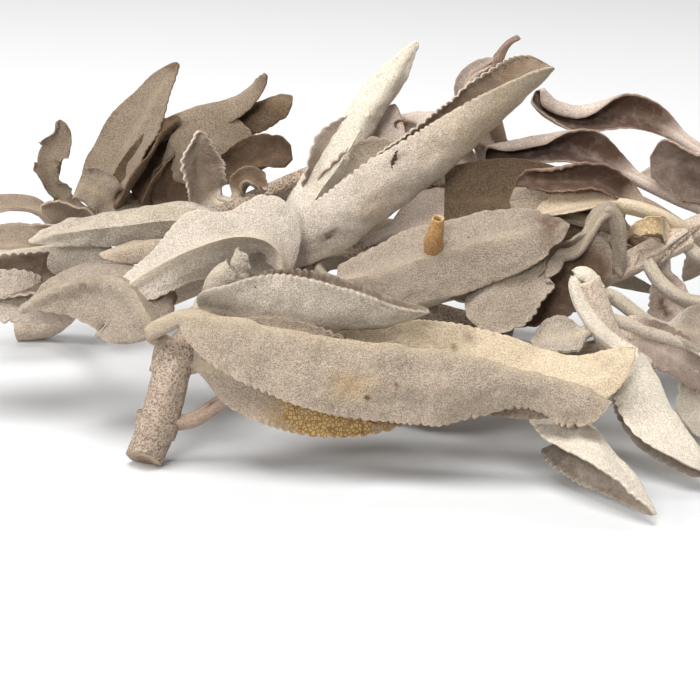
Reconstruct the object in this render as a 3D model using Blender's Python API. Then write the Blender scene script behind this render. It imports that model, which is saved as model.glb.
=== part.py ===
"""A dried white sage bunch: leafy sprigs piled on a table, built as one fused solid for each sprig.

Run with: blender --background --python part.py
Lengths in the tables are millimetres. +X runs along the bunch, +Y away from its front, +Z up, and the
bunch rests on z = 0 with the origin below the middle of its box.
"""

import math
from collections import namedtuple

import bmesh
import bpy
import numpy as np

MM = 0.001

BLADE_SKIN = 0.8  # thickness of a leaf blade at its margin
PETIOLE_SKIN = 1.5  # thickness of a leaf stalk at its sides
PETIOLE_HALF_WIDTH = 1.05
RIB_DEPTH = 0.9  # how far the midrib stands out below the blade, at the blade's base
STEM_SIDES = 8

# path     points that the midrib runs through, from inside the stem, along the stalk, to the leaf's tip
# width    widest part of the blade, measured round its curl
# face     which way the upper side of the leaf looks, evenly spaced from the root to the tip
# curl     how far the right and the left half roll towards the upper side, in degrees, root to tip
# fold     the crease of each half at the midrib, in degrees
# stalk    share of the path that is leaf stalk
# ends     how the blade narrows to its base and to its tip, small values being blunt
# wave     how far the margin waves out of the blade, and how many waves it has
# snap     share of the blade that is left, 1 where the tip is whole
# bites    pieces missing from the margin: (place along the path, side, share of the half, length share)
Leaf = namedtuple(
    "Leaf", "name path width face curl fold stalk ends wave snap bites",
    defaults=(((0, 0, 1),), ((30, 30),), ((0, 0),), 0.2, (0.75, 0.85), (0.5, 2.5), 1.0, ()),
)


def even_points(points, shares):
    """Points at the given shares of the length of a smooth curve through some points."""
    points = np.asarray(points, float)
    if len(points) == 2:
        return points[0] + np.outer(shares, points[1] - points[0])
    ends = 2 * points[0] - points[1], 2 * points[-1] - points[-2]
    knots = np.vstack([ends[0], points, ends[1]])
    steps = np.linspace(0, 1, 24, endpoint=False)[:, None]
    dense = []
    for a, b, c, d in zip(knots, knots[1:], knots[2:], knots[3:]):
        dense.append(0.5 * (2 * b + (c - a) * steps + (2 * a - 5 * b + 4 * c - d) * steps**2
                            + (3 * b - a - 3 * c + d) * steps**3))
    dense = np.vstack([*dense, points[-1:]])
    run = np.concatenate([[0], np.cumsum(np.linalg.norm(np.diff(dense, axis=0), axis=1))])
    return np.column_stack([np.interp(np.asarray(shares) * run[-1], run, dense[:, k]) for k in range(3)])


def along(values, shares):
    """Values given evenly from root to tip, blended at the given shares."""
    values = np.asarray(values, float)
    places = np.linspace(0, 1, len(values))
    return np.column_stack([np.interp(shares, places, values[:, k]) for k in range(values.shape[1])])


def path_length(points):
    return float(np.sum(np.linalg.norm(np.diff(np.array(points, float), axis=0), axis=1)))


def unit(vectors):
    return vectors / np.maximum(np.linalg.norm(vectors, axis=-1, keepdims=True), 1e-9)


def outline(leaf, shares):
    """Half width of the leaf along its path: a stalk, then a lance-shaped blade."""
    blade = np.clip((shares - leaf.stalk) / (1 - leaf.stalk), 0, 1) * leaf.snap
    fore, aft = leaf.ends
    belly = fore / (fore + aft)
    lance = (blade / belly) ** fore * ((1 - blade) / (1 - belly)) ** aft
    return np.sqrt((leaf.width / 2 * lance) ** 2 + PETIOLE_HALF_WIDTH**2 * np.clip(1.2 - blade, 0.3, 1))


def blade_points(leaf, shares, across, teeth=None):
    """Upper and lower skin points of a leaf, each an array of stations by places across."""
    spine = even_points(leaf.path, shares)
    ahead = unit(np.gradient(spine, axis=0))
    face = along(leaf.face, shares)
    up = unit(face - ahead * np.sum(face * ahead, axis=1, keepdims=True))
    right = np.cross(ahead, up)
    half = outline(leaf, shares)
    open_width = half / half.max()
    curls = np.radians(along(leaf.curl, shares)) * (open_width**0.8)[:, None]
    folds = np.radians(along(leaf.fold, shares)) * (open_width**0.5)[:, None]
    blade = np.clip((shares - leaf.stalk) / (1 - leaf.stalk), 0, 1)
    skin = PETIOLE_SKIN + (BLADE_SKIN - PETIOLE_SKIN) * np.clip(blade * 5, 0, 1)
    rib = RIB_DEPTH * (1 - 0.75 * blade)
    upper = np.zeros((len(shares), len(across), 3))
    lower = np.zeros_like(upper)
    for j, place in enumerate(across):
        side = 1 if place > 0 else -1
        k = 0 if place > 0 else 1
        reach = abs(place)
        width = half.copy()
        for where, bitten, depth, length in leaf.bites:
            if bitten == side:
                width = width * (1 - depth * np.exp(-(((shares - where) / length) ** 2)))
        if teeth is not None:
            width = width + teeth(shares, side) * reach**6
        curl = np.where(np.abs(curls[:, k]) < 1e-3, 1e-3, curls[:, k])
        fold = folds[:, k] * min(1, reach * 8)
        turn = fold + curl * reach
        out = width / curl * (np.sin(turn) - np.sin(fold))
        rise = width / curl * (np.cos(fold) - np.cos(turn))
        normal = -side * np.sin(turn)[:, None] * right + np.cos(turn)[:, None] * up
        swing = leaf.wave[0] * reach**2 * open_width * np.sin(2 * np.pi * leaf.wave[1] * shares + side)
        place_at = spine + side * out[:, None] * right + rise[:, None] * up + swing[:, None] * normal
        keel = rib * max(0.0, 1 - reach / 0.3) ** 1.5
        upper[:, j] = place_at + normal * (skin / 2)[:, None]
        lower[:, j] = place_at - normal * (skin / 2 + keel)[:, None]
    return upper, lower


def closed_sheet(upper, lower):
    """Vertices and triangles of the closed solid between two skins."""
    n, m = upper.shape[:2]
    points = np.vstack([upper.reshape(-1, 3), lower.reshape(-1, 3)])
    low = n * m
    faces = []
    for i in range(n - 1):
        for j in range(m - 1):
            a, b, c, d = i * m + j, i * m + j + 1, (i + 1) * m + j + 1, (i + 1) * m + j
            faces += [(a, b, c), (a, c, d), (low + c, low + b, low + a), (low + d, low + c, low + a)]
    rim = [i * m for i in range(n - 1, -1, -1)] + list(range(1, m))
    rim += [i * m + m - 1 for i in range(1, n)] + [(n - 1) * m + j for j in range(m - 2, 0, -1)]
    for a, b in zip(rim, rim[1:] + rim[:1]):
        faces += [(b, a, low + a), (b, low + a, low + b)]
    return points, np.array(faces)


def tube(path, radii, sides, segments):
    """Vertices and triangles of a closed round stem."""
    shares = np.linspace(0, 1, segments + 1)
    spine = even_points(path, shares)
    ahead = unit(np.gradient(spine, axis=0))
    helper = np.array([0.0, 0.0, 1.0]) if abs(ahead[0][2]) < 0.9 else np.array([1.0, 0.0, 0.0])
    across = unit(np.cross(ahead, helper))
    other = np.cross(ahead, across)
    radius = np.interp(shares, np.linspace(0, 1, len(radii)), radii)
    points = []
    for i in range(segments + 1):
        for k in range(sides):
            angle = 2 * math.pi * k / sides
            points.append(spine[i] + radius[i] * (math.cos(angle) * across[i] + math.sin(angle) * other[i]))
    faces = []
    for i in range(segments):
        for k in range(sides):
            a, b = i * sides + k, i * sides + (k + 1) % sides
            faces += [(a, b + sides, a + sides), (a, b, b + sides)]
    first, last = len(points), len(points) + 1
    points += [spine[0], spine[-1]]
    end = segments * sides
    for k in range(sides):
        faces += [(first, (k + 1) % sides, k), (last, end + k, end + (k + 1) % sides)]
    return np.array(points), np.array(faces)


# Stems: (name, path, radii evenly along it). Every stem of a sprig crosses another of the same sprig.
FRONT_STEMS = [
    ("cut_stem", [(-33.4, -23.4, -2.5), (-30, -23, 8), (-26.6, -20.5, 18), (-20, -8, 20), (-8, 6, 19),
                  (8, 16, 17)],
     [2.9, 2.9, 2.8, 2.6, 2.4, 2.0]),
    ("ring", [(-30.9, -23.2, 5.6), (-30, -23, 8.2)], [3.4, 3.5]),
    ("node", [(-28.6, -21.6, 14.5), (-26.8, -19.5, 19.5)], [3.4, 3.9]),
]
FRONT_LEAVES = [
    Leaf("front_leaf", [(-27, -20, 18), (-30.5, -23.5, 21.5), (-27.5, -25, 24), (-23, -27, 25.5),
                        (-11, -30, 24.5), (2, -32, 23), (14, -33, 22), (26, -34, 19.5), (33.5, -35, 17.5),
                        (39, -36, 15)],
         24, [(0, 0.2, -1)], [(15, 15), (10, 15), (20, 20), (90, 90)], [(65, 62), (70, 66), (60, 60)], 0.16,
         (0.5, 0.42), (0.5, 2), 1.0, ((0.85, -1, 0.42, 0.09),)),
    Leaf("second_leaf", [(-26, -19, 17), (-14, -20, 18), (8, -21, 17.5), (23.5, -22.5, 16), (32, -25, 15.2),
                         (38, -27, 16.5), (43.5, -28, 21.3)],
         12.5, [(0, -0.8, 0.6)], [(20, 20), (20, 20), (-70, -70)], [(0, 0)], 0.12, (0.6, 0.6)),
    Leaf("low_leaf", [(-26.5, -19.5, 15), (-21, -26, 18), (-13, -28, 18), (-3, -29, 15.5), (5, -29, 13.5),
                      (13, -29, 12.5)],
         17, [(0, -1, 0.1), (0, -0.9, 0.3)], [(10, 10)], [(0, 0)], 0.12, (0.6, 0.8)),
    Leaf("over_leaf", [(-26, -17, 19), (-24.5, -18, 24), (-21, -22, 26), (-15.5, -24.5, 25.2),
                       (-7.5, -26, 24.5), (-1, -26.5, 24.3), (6, -27, 25), (12, -27, 27)],
         18, [(0, 0.1, 1)], [(20, 20)], [(60, 55)], 0.2, (0.6, 0.8)),
    Leaf("broad_leaf", [(-27.5, -20, 18.3), (-29.5, -19, 19.5), (-31.7, -18.5, 23.2), (-33.8, -17, 26.5),
                        (-37.1, -15, 28.2), (-42, -13.5, 27.9), (-47.9, -12, 25.4), (-53.1, -11, 21.9)],
         20, [(0, 0.7, -0.7)], [(25, 20), (25, 15), (25, 30)], [(30, 40)], 0.12, (0.45, 1.2)),
    Leaf("ridged_leaf", [(-15, -2, 19.5), (-12.5, -5.5, 25), (-11, -7, 28), (-11.6, -7, 30.8),
                         (-14.2, -7.2, 32.8), (-18.5, -8, 33.3), (-24, -11, 32.3), (-29.5, -14, 30.3),
                         (-34, -16, 27.8), (-36.7, -17.5, 26)],
         19, [(0, 1, -0.1), (0, 0.9, -0.35), (0, 0.5, -0.9)], [(20, 15)], [(35, 15), (40, 20), (45, 30)],
         0.24, (0.4, 0.6), (0.3, 3), 1.0,
         ((0.36, 1, 0.65, 0.14), (0.75, 1, 0.45, 0.3), (0.27, -1, 0.55, 0.06), (0.49, -1, 0.4, 0.06),
          (0.78, -1, 0.3, 0.2))),
    Leaf("arched_leaf", [(-20, -8, 20), (-20.5, -3, 27), (-21.3, -3, 32), (-23.6, -2, 35.3),
                         (-27.5, -1, 36.2), (-32, 0, 35.9), (-38, 0, 34.8), (-44, -1, 33.7),
                         (-49, -2, 32.3), (-52.4, -3, 31.3)],
         12.5, [(0, 0.6, -0.8)], [(100, 60)], [(20, 20)], 0.3, (0.45, 0.95), (0.2, 2)),
    Leaf("small_arch", [(-21, -7, 20), (-21.5, -3.5, 30), (-23.5, -4, 33.8), (-26, -4.5, 34.3),
                        (-28.5, -5, 33), (-29.5, -6, 30.5)],
         6, [(0, 0.6, -0.8), (1, 0.3, 0)], [(60, 60)], [(10, 10)], 0.5),
    Leaf("strip_leaf", [(-22, -6, 20), (-24, -5, 28.8), (-29, -5, 31.6), (-34, -5.5, 31.3),
                        (-40.5, -6, 29.8)],
         7, [(0, 0.5, -0.9)], [(60, 60)], [(10, 10)], 0.3),
    Leaf("under_leaf", [(-29.5, -22, 7), (-24.5, -24, 8.5), (-18.5, -24, 12.2), (-10, -23, 13),
                        (0, -22, 11)],
         9, [(0, -0.5, 1)], [(30, 30)], [(10, 10)], 0.5),
    Leaf("curl_scrap", [(-24, -14, 19.5), (-23, -16, 25), (-22, -17, 29), (-19, -17, 31.5)],
         7, [(1, 0.6, 0)], [(90, 90)], [(10, 10)], 0.4, (0.7, 0.7), (0.2, 2), 0.9),
    Leaf("inner_curl", [(-22, -12, 19.5), (-19.5, -14, 25), (-18.5, -14, 30), (-17.5, -14, 33)],
         6, [(1, 0.6, 0)], [(90, 90)], [(10, 10)], 0.4, (0.7, 0.7), (0.2, 2), 0.9),
]

MIDDLE_STEMS = [
    ("pink_stem", [(-26, 6, 32), (-18.5, 8, 35), (-10, 12, 38), (-2, 16, 39.5), (12.5, 22, 36),
                   (26, 24, 30)],
     [1.2, 1.3, 1.3, 1.4, 1.6, 1.8]),
    ("lower_stem", [(-18, 3, 27), (-8, 8, 25), (6, 14, 26), (26, 24, 30), (38, 26, 33)],
     [1.5, 2.0, 2.2, 2.2, 2.0]),
    ("riser", [(-17, 4, 27), (-17, 7, 35)], [1.2, 1.2]),
    ("yellow_stub", [(13.4, -10.5, 32), (13.3, -12.6, 34.6), (13.8, -14, 38.1)], [1.6, 1.4, 1.0]),
]
MIDDLE_LEAVES = [
    Leaf("rolled_leaf", [(-17, 8, 25), (-13, 2, 25.5), (-8.5, 0.5, 27), (-1, 0, 30.5), (8, 1, 37),
                         (16.5, 3, 43), (24, 5.5, 49.5), (29.5, 7.5, 54.5), (33.3, 9, 58)],
         20, [(-0.5, 0.4, 0.75), (-0.5, 0.3, 0.75), (-0.6, -0.1, 0.7), (-0.6, -0.45, 0.6)],
         [(110, 120), (110, 110), (100, 100), (70, 80)], [(30, 30)], 0.02, (0.25, 0.3), (0.1, 2)),
    Leaf("tall_leaf", [(-12, 7, 26), (-10, 6, 29), (-8.4, 6, 32.5), (-5, 7, 37.7), (-0.8, 8, 43.5),
                       (3, 10, 49.8), (7.5, 13, 56), (11.2, 16, 61)],
         12.5, [(0, 1, 0.2)], [(100, 100)], [(15, 15)], 0.05, (0.35, 0.8), (0.2, 2)),
    Leaf("tall_flap", [(-6, 10, 26), (-6.5, 10, 33), (-4.7, 9.5, 39), (-2.6, 10, 44.5), (0.5, 12, 49.5)],
         8, [(0.3, -0.9, 0.2)], [(30, 30)], [(0, 0)], 0.3),
    Leaf("pale_leaf", [(0, 12, 26), (2, 12, 33), (4.4, 13, 40.6), (6.1, 15, 46.3), (7.6, 16.5, 50.4)],
         9.5, [(0, -1, 0)], [(30, 30)], [(0, 0)], 0.3),
    Leaf("scalloped_leaf", [(-6, 9, 26), (-3.4, 8.5, 35.6), (0.3, 8.5, 40.4), (4.7, 9, 43.7),
                            (8.7, 9.5, 44.3)],
         8, [(0.3, -1, 0.3)], [(30, 30)], [(0, 0)], 0.2),
    Leaf("rolled_flap", [(0, 12, 26), (8, 12, 29.5), (16, 11, 31.5), (24, 9, 33)],
         12, [(0, -0.7, 0.7)], [(20, 20)], [(0, 0)], 0.3),
    Leaf("standing_leaf", [(-18.5, 8, 34.7), (-20.4, 8, 35.1), (-23.1, 8.5, 36), (-24.5, 8, 38.7),
                           (-25.4, 7.3, 42.2), (-24.9, 6.5, 47.8)],
         9, [(0.7, -0.7, 0), (0.6, -0.8, 0)], [(70, 20)], [(10, 10)], 0.2, (0.5, 0.7)),
    Leaf("brown_leaf", [(-18.5, 8, 35), (-22, 12, 34.5), (-24.5, 15, 36.2), (-21.4, 16, 37.7),
                        (-17.1, 15.5, 39.6), (-12.8, 15, 41.4), (-9.9, 14, 41.6)],
         10, [(-0.5, -0.6, 0.7)], [(60, 60)], [(10, 10)], 0.42, (0.5, 0.4)),
    Leaf("peaked_leaf", [(-18.5, 8, 35), (-19, 9, 36), (-17, 9.5, 38.5), (-14, 9, 37)],
         6, [(0, -0.3, 1)], [(60, 60)], [(10, 10)], 0.2),
    Leaf("veined_leaf", [(-2, 10, 25), (-5, 2, 25), (-3, -7, 25.5), (-1, -9, 26.2), (5, -10, 27.9),
                         (13, -11.5, 31), (20.4, -12.5, 33.4), (26.8, -13.5, 35.2), (34.5, -14, 37)],
         13.5, [(0, 0.85, -0.6)], [(20, 30)], [(8, 8)], 0.25, (0.75, 0.6), (0.3, 3)),
    Leaf("shadow_leaf", [(8, 14, 26), (12, 4, 22), (17, 0, 24.5), (21, -2.5, 25.5), (28.5, 1, 26.5)],
         10, [(0, -0.7, 0.7)], [(20, 20)], [(0, 0)], 0.4),
    Leaf("mauve_leaf", [(26, 24, 30), (23, 21, 38), (21.2, 18, 48.8), (20.5, 17, 52.7), (22.3, 16.5, 55.7),
                        (25.6, 16, 58)],
         8, [(-1, -0.3, 0.3)], [(50, 50)], [(10, 10)], 0.4),
    Leaf("twisted_leaf", [(26, 24, 30), (26, 21, 40), (24, 18, 49), (24.5, 17, 54.4), (25.3, 16, 58),
                          (26.5, 16, 60.4), (28.3, 16, 62)],
         4.5, [(-1, 0, 0)], [(80, 80)], [(0, 0)], 0.5),
    Leaf("dark_tip_leaf", [(20, 24, 34), (20.6, 18, 39.6), (15.4, 16, 42.6), (11.1, 15.5, 45.3),
                           (7.6, 15, 47.6)],
         6, [(0, -1, 0.3)], [(40, 40)], [(0, 0)], 0.3),
    Leaf("rear_middle_leaf", [(2, 12, 26), (0, 20, 29), (-6, 28, 30), (-15, 33, 27), (-22, 35, 22)],
         14, [(0, 0, 1)], [(40, 40)], [(20, 20)], 0.2),
    Leaf("long_rear_leaf", [(33, 25, 31.5), (28, 33, 33), (20, 39, 31), (8, 43, 28), (-2, 44, 26)],
         13, [(0, 0.5, 1)], [(60, 60)], [(20, 20)], 0.2),
    Leaf("pink_leaf", [(30, 24, 33), (28, 21, 40), (24.1, 20, 44.4), (17.2, 20, 47.3), (12, 20, 47.7),
                       (7.9, 20, 47.3)],
         7, [(0, 0.3, -1)], [(60, 60)], [(0, 0)], 0.3),
]

BACK_STEMS = [
    ("back_stem", [(-42, 37, 29.5), (-35, 40, 23), (-20, 42, 15), (0, 43, 9), (20, 44, 4), (31, 44, 1.8)],
     [1.6, 2.1, 2.1, 2.1, 2.0, 1.8]),
]
BACK_LEAVES = [
    Leaf("torn_leaf", [(-40, 38, 28), (-44, 37, 26), (-48.7, 36, 26.7), (-51.7, 36, 29), (-53.9, 36, 32.7),
                       (-54.6, 36, 36.4), (-53.4, 36, 39), (-52.3, 36, 43.8)],
         6.5, [(0, -1, 0.2)], [(20, 20)], [(0, 0)], 0.3, (0.9, 0.5), (0.5, 2.5), 1.0,
         ((0.6, 1, 0.5, 0.06), (0.93, -1, 0.6, 0.05))),
    Leaf("tall_fold", [(-40, 38, 28), (-44.3, 38, 31.5), (-42.4, 38, 35.5), (-40.1, 38.5, 39.7),
                       (-37, 39, 44.8), (-34.5, 40, 48.9), (-31.2, 41, 53.3)],
         12.5, [(-0.6, -0.8, 0.3)], [(10, 10)], [(5, 5)], 0.1, (0.3, 0.75)),
    Leaf("upper_dry_leaf", [(-38, 39, 27), (-36.5, 40, 35), (-34.5, 39, 40.5), (-32, 38, 43.4),
                            (-28.5, 37, 45), (-24, 36.5, 46.3), (-19.5, 35.5, 48.3), (-14.8, 34, 52.3)],
         8, [(0.3, 0.5, -0.8)], [(60, 50)], [(10, 10)], 0.35, (0.5, 0.6)),
    Leaf("middle_dry_leaf", [(-37, 39.5, 26), (-35, 41, 34), (-31.9, 40, 39.5), (-27.3, 39, 41.7),
                             (-22.7, 39, 43.6), (-18.1, 38, 45.6), (-13.5, 37, 46.9), (-10.4, 36.5, 46.6)],
         9.5, [(0, 0.6, -0.8)], [(60, 60)], [(10, 10)], 0.3, (0.7, 0.3)),
    Leaf("lower_dry_leaf", [(-36, 40, 25), (-33, 36, 33), (-29.7, 33, 37.1), (-26, 33, 39.8),
                            (-23.3, 33, 40.8), (-19.7, 33, 39.8), (-17.6, 33, 38.9)],
         11, [(0, -1, 0.3)], [(-30, -30)], [(0, 0)], 0.3, (0.7, 0.5)),
    Leaf("layered_leaf", [(-41, 37, 28), (-42.3, 35, 29), (-40.3, 34.5, 31.8), (-37.4, 34.5, 35.8),
                          (-34.6, 35, 40.2), (-31, 35.5, 44.6)],
         8, [(-0.5, -0.6, 0.4)], [(60, 30)], [(30, 10)], 0.1, (0.4, 0.7)),
    Leaf("torn_scrap", [(-40, 37, 28), (-42.5, 34, 28.5), (-45, 32.5, 31), (-49, 32, 33)],
         9, [(0, -0.8, 0.6)], [(30, 30)], [(0, 0)], 0.2, (0.6, 0.4), (0.5, 2), 0.9),
    Leaf("dark_leaf", [(-37, 39, 26), (-34, 36, 29), (-31.5, 35, 33.5), (-30, 35, 37)],
         9, [(0, -1, 0.2)], [(50, 50)], [(0, 0)], 0.2),
    Leaf("hem_leaf", [(-37, 39, 26), (-37.6, 36, 30), (-34.5, 36, 35), (-31, 36.5, 40), (-28, 37, 43.5)],
         6.5, [(-0.5, -0.6, 0.5)], [(70, 20)], [(10, 10)], 0.1, (0.4, 0.8)),
    Leaf("rear_leaf", [(-12, 42.5, 12.5), (-8, 43, 15.5), (0, 43, 18), (10, 41.5, 19), (20, 39, 18)],
         14, [(0, 0.4, 1)], [(40, 40)], [(25, 25)], 0.2),
    Leaf("rear_low_leaf", [(0, 43, 9), (6, 44, 11), (16, 44.5, 11.5), (28, 44, 10), (40, 42, 7)],
         12, [(0, 1, 0.4)], [(50, 30)], [(20, 20)], 0.2),
    Leaf("rear_left_leaf", [(-18, 42, 15), (-22, 43, 13), (-30, 43, 9), (-38, 42, 6), (-46, 40, 4)],
         13, [(0, 0.6, 1)], [(40, 40)], [(20, 20)], 0.2),
    Leaf("rear_right_leaf", [(10, 43.5, 6.5), (20, 39, 11), (32, 35, 14), (44, 32, 15), (57, 30, 13)],
         13, [(0, 0.3, 1)], [(60, 60)], [(20, 20)], 0.25),
]

LEFT_STEMS = [
    ("left_stub", [(-63.5, 42.5, 2.3), (-57, 42.5, 3.2), (-50, 35, 11), (-45, 22, 20), (-42, 10, 25)],
     [2.3, 2.3, 2.0, 1.8, 1.5]),
]
LEFT_LEAVES = [
    Leaf("thick_left_leaf", [(-43, 12, 24), (-40.5, 3.5, 28), (-45, 2, 29), (-52, 2, 28.3), (-60, 3, 27),
                             (-73, 4, 24)],
         11, [(0, 0.5, -0.8)], [(70, 60)], [(15, 15)], 0.12, (0.3, 0.9)),
    Leaf("brown_left_leaf", [(-43, 12, 24), (-47, 2, 24.5), (-53, -1, 24), (-60, -2, 22.5), (-70, -3, 19)],
         11, [(0, -0.6, 0.6)], [(50, 50)], [(15, 15)], 0.2),
    Leaf("toothed_left_leaf", [(-44, 14, 23), (-46, 5, 19), (-50, -2, 20.5), (-57, -5, 22.5),
                               (-68, -6, 20)],
         10, [(0, -0.7, 0.7)], [(20, 20)], [(0, 0)], 0.3),
    Leaf("far_left_leaf", [(-49, 34, 12), (-52, 36, 22), (-57, 35, 27.3), (-65, 34, 28), (-75.5, 33, 26)],
         7, [(0, -0.3, 0.95)], [(30, 30)], [(0, 0)], 0.4),
    Leaf("low_left_leaf", [(-48, 30, 14), (-54, 26, 21.5), (-60, 25, 23.5), (-70, 24, 22)],
         9, [(0, -0.5, 0.8)], [(30, 30)], [(0, 0)], 0.3),
    Leaf("bud_leaf", [(-48, 30, 14), (-47, 30, 23), (-51, 29, 27.5), (-55, 27, 30)],
         8, [(-0.3, -0.8, 0.3)], [(50, 50)], [(10, 10)], 0.4),
    Leaf("spike_leaf", [(-47, 28, 16), (-50, 25, 24), (-57, 24, 27)],
         4, [(0, -0.8, 0.3)], [(50, 50)], [(10, 10)], 0.3),
]

RIGHT_STEMS = [
    ("snapped_stem", [(37.6, -15.5, 28.5), (39.3, -15.8, 24), (41.5, -16.5, 18.5), (47, -16.5, 14)],
     [1.9, 2.0, 2.1, 1.8]),
    ("runner", [(41, -15.5, 19.5), (50, -10, 17), (62, -6, 13), (74, -4, 8)], [1.4, 1.5, 1.6, 1.4]),
]
RIGHT_LEAVES = [
    Leaf("hanging_leaf", [(38.8, -15.7, 26.5), (37, -15, 28.8), (35.4, -15.5, 28), (36.3, -16.5, 24.5),
                          (38.7, -18, 21), (41.8, -19.2, 18.5), (44.7, -20.8, 17), (47.3, -23, 14.2),
                          (49.4, -26, 10.3), (52, -29, 7.6), (54.5, -32, 5), (57.5, -34.5, 2.8)],
         15.5, [(-0.75, -0.4, -0.5)], [(20, 25)], [(60, 75)], 0.46, (0.3, 0.7)),
    Leaf("resting_leaf", [(43.5, -17, 16.5), (41.5, -20, 12), (38, -23, 9.8), (36.3, -27, 9.5),
                          (38, -34, 8.5), (41.2, -41, 6.2), (44.4, -47.5, 2)],
         18, [(-0.85, -0.3, -0.25)], [(10, 15)], [(55, 75)], 0.18, (0.2, 0.75)),
    Leaf("edge_leaf", [(54, -8.5, 15.5), (57.5, -12, 14), (58, -14, 10), (59, -16, 5), (61, -19, 1.2)],
         12, [(0, -1, 0.2)], [(40, 40)], [(0, 0)], 0.15),
    Leaf("lilac_leaf", [(40.5, -14, 21.5), (44, -13.5, 19.5), (48.5, -14, 17), (54, -14, 14), (66, -12, 6)],
         8, [(0, -0.9, 0.6)], [(40, 40)], [(0, 0)], 0.1, (0.3, 0.8)),
    Leaf("long_stalk_leaf", [(40, -15, 22.5), (46.5, -13.5, 20), (56, -13, 16.5), (66, -15, 12),
                             (75.3, -17, 8)],
         12, [(0, -0.4, 0.9)], [(40, 40)], [(10, 10)], 0.4),
    Leaf("bent_stalk_leaf", [(39.5, -15, 25.5), (42, -12.5, 25), (49, -11.5, 20), (56, -11, 18.5),
                             (69, -10, 17)],
         11, [(0, -0.6, 0.8)], [(30, 30)], [(10, 10)], 0.45),
    Leaf("small_grey_leaf", [(40, -16, 21.5), (36, -18, 20.3), (32, -17.5, 19.6), (28.8, -16, 18.6)],
         7, [(0, -0.7, 0.7)], [(30, 30)], [(0, 0)], 0.3),
    Leaf("low_grey_leaf", [(42, -15.5, 18.5), (37, -12, 16), (28, -8, 13), (14, -4, 8), (4, -2, 4)],
         14, [(0, -0.3, 1)], [(30, 30)], [(0, 0)], 0.3),
]

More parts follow.
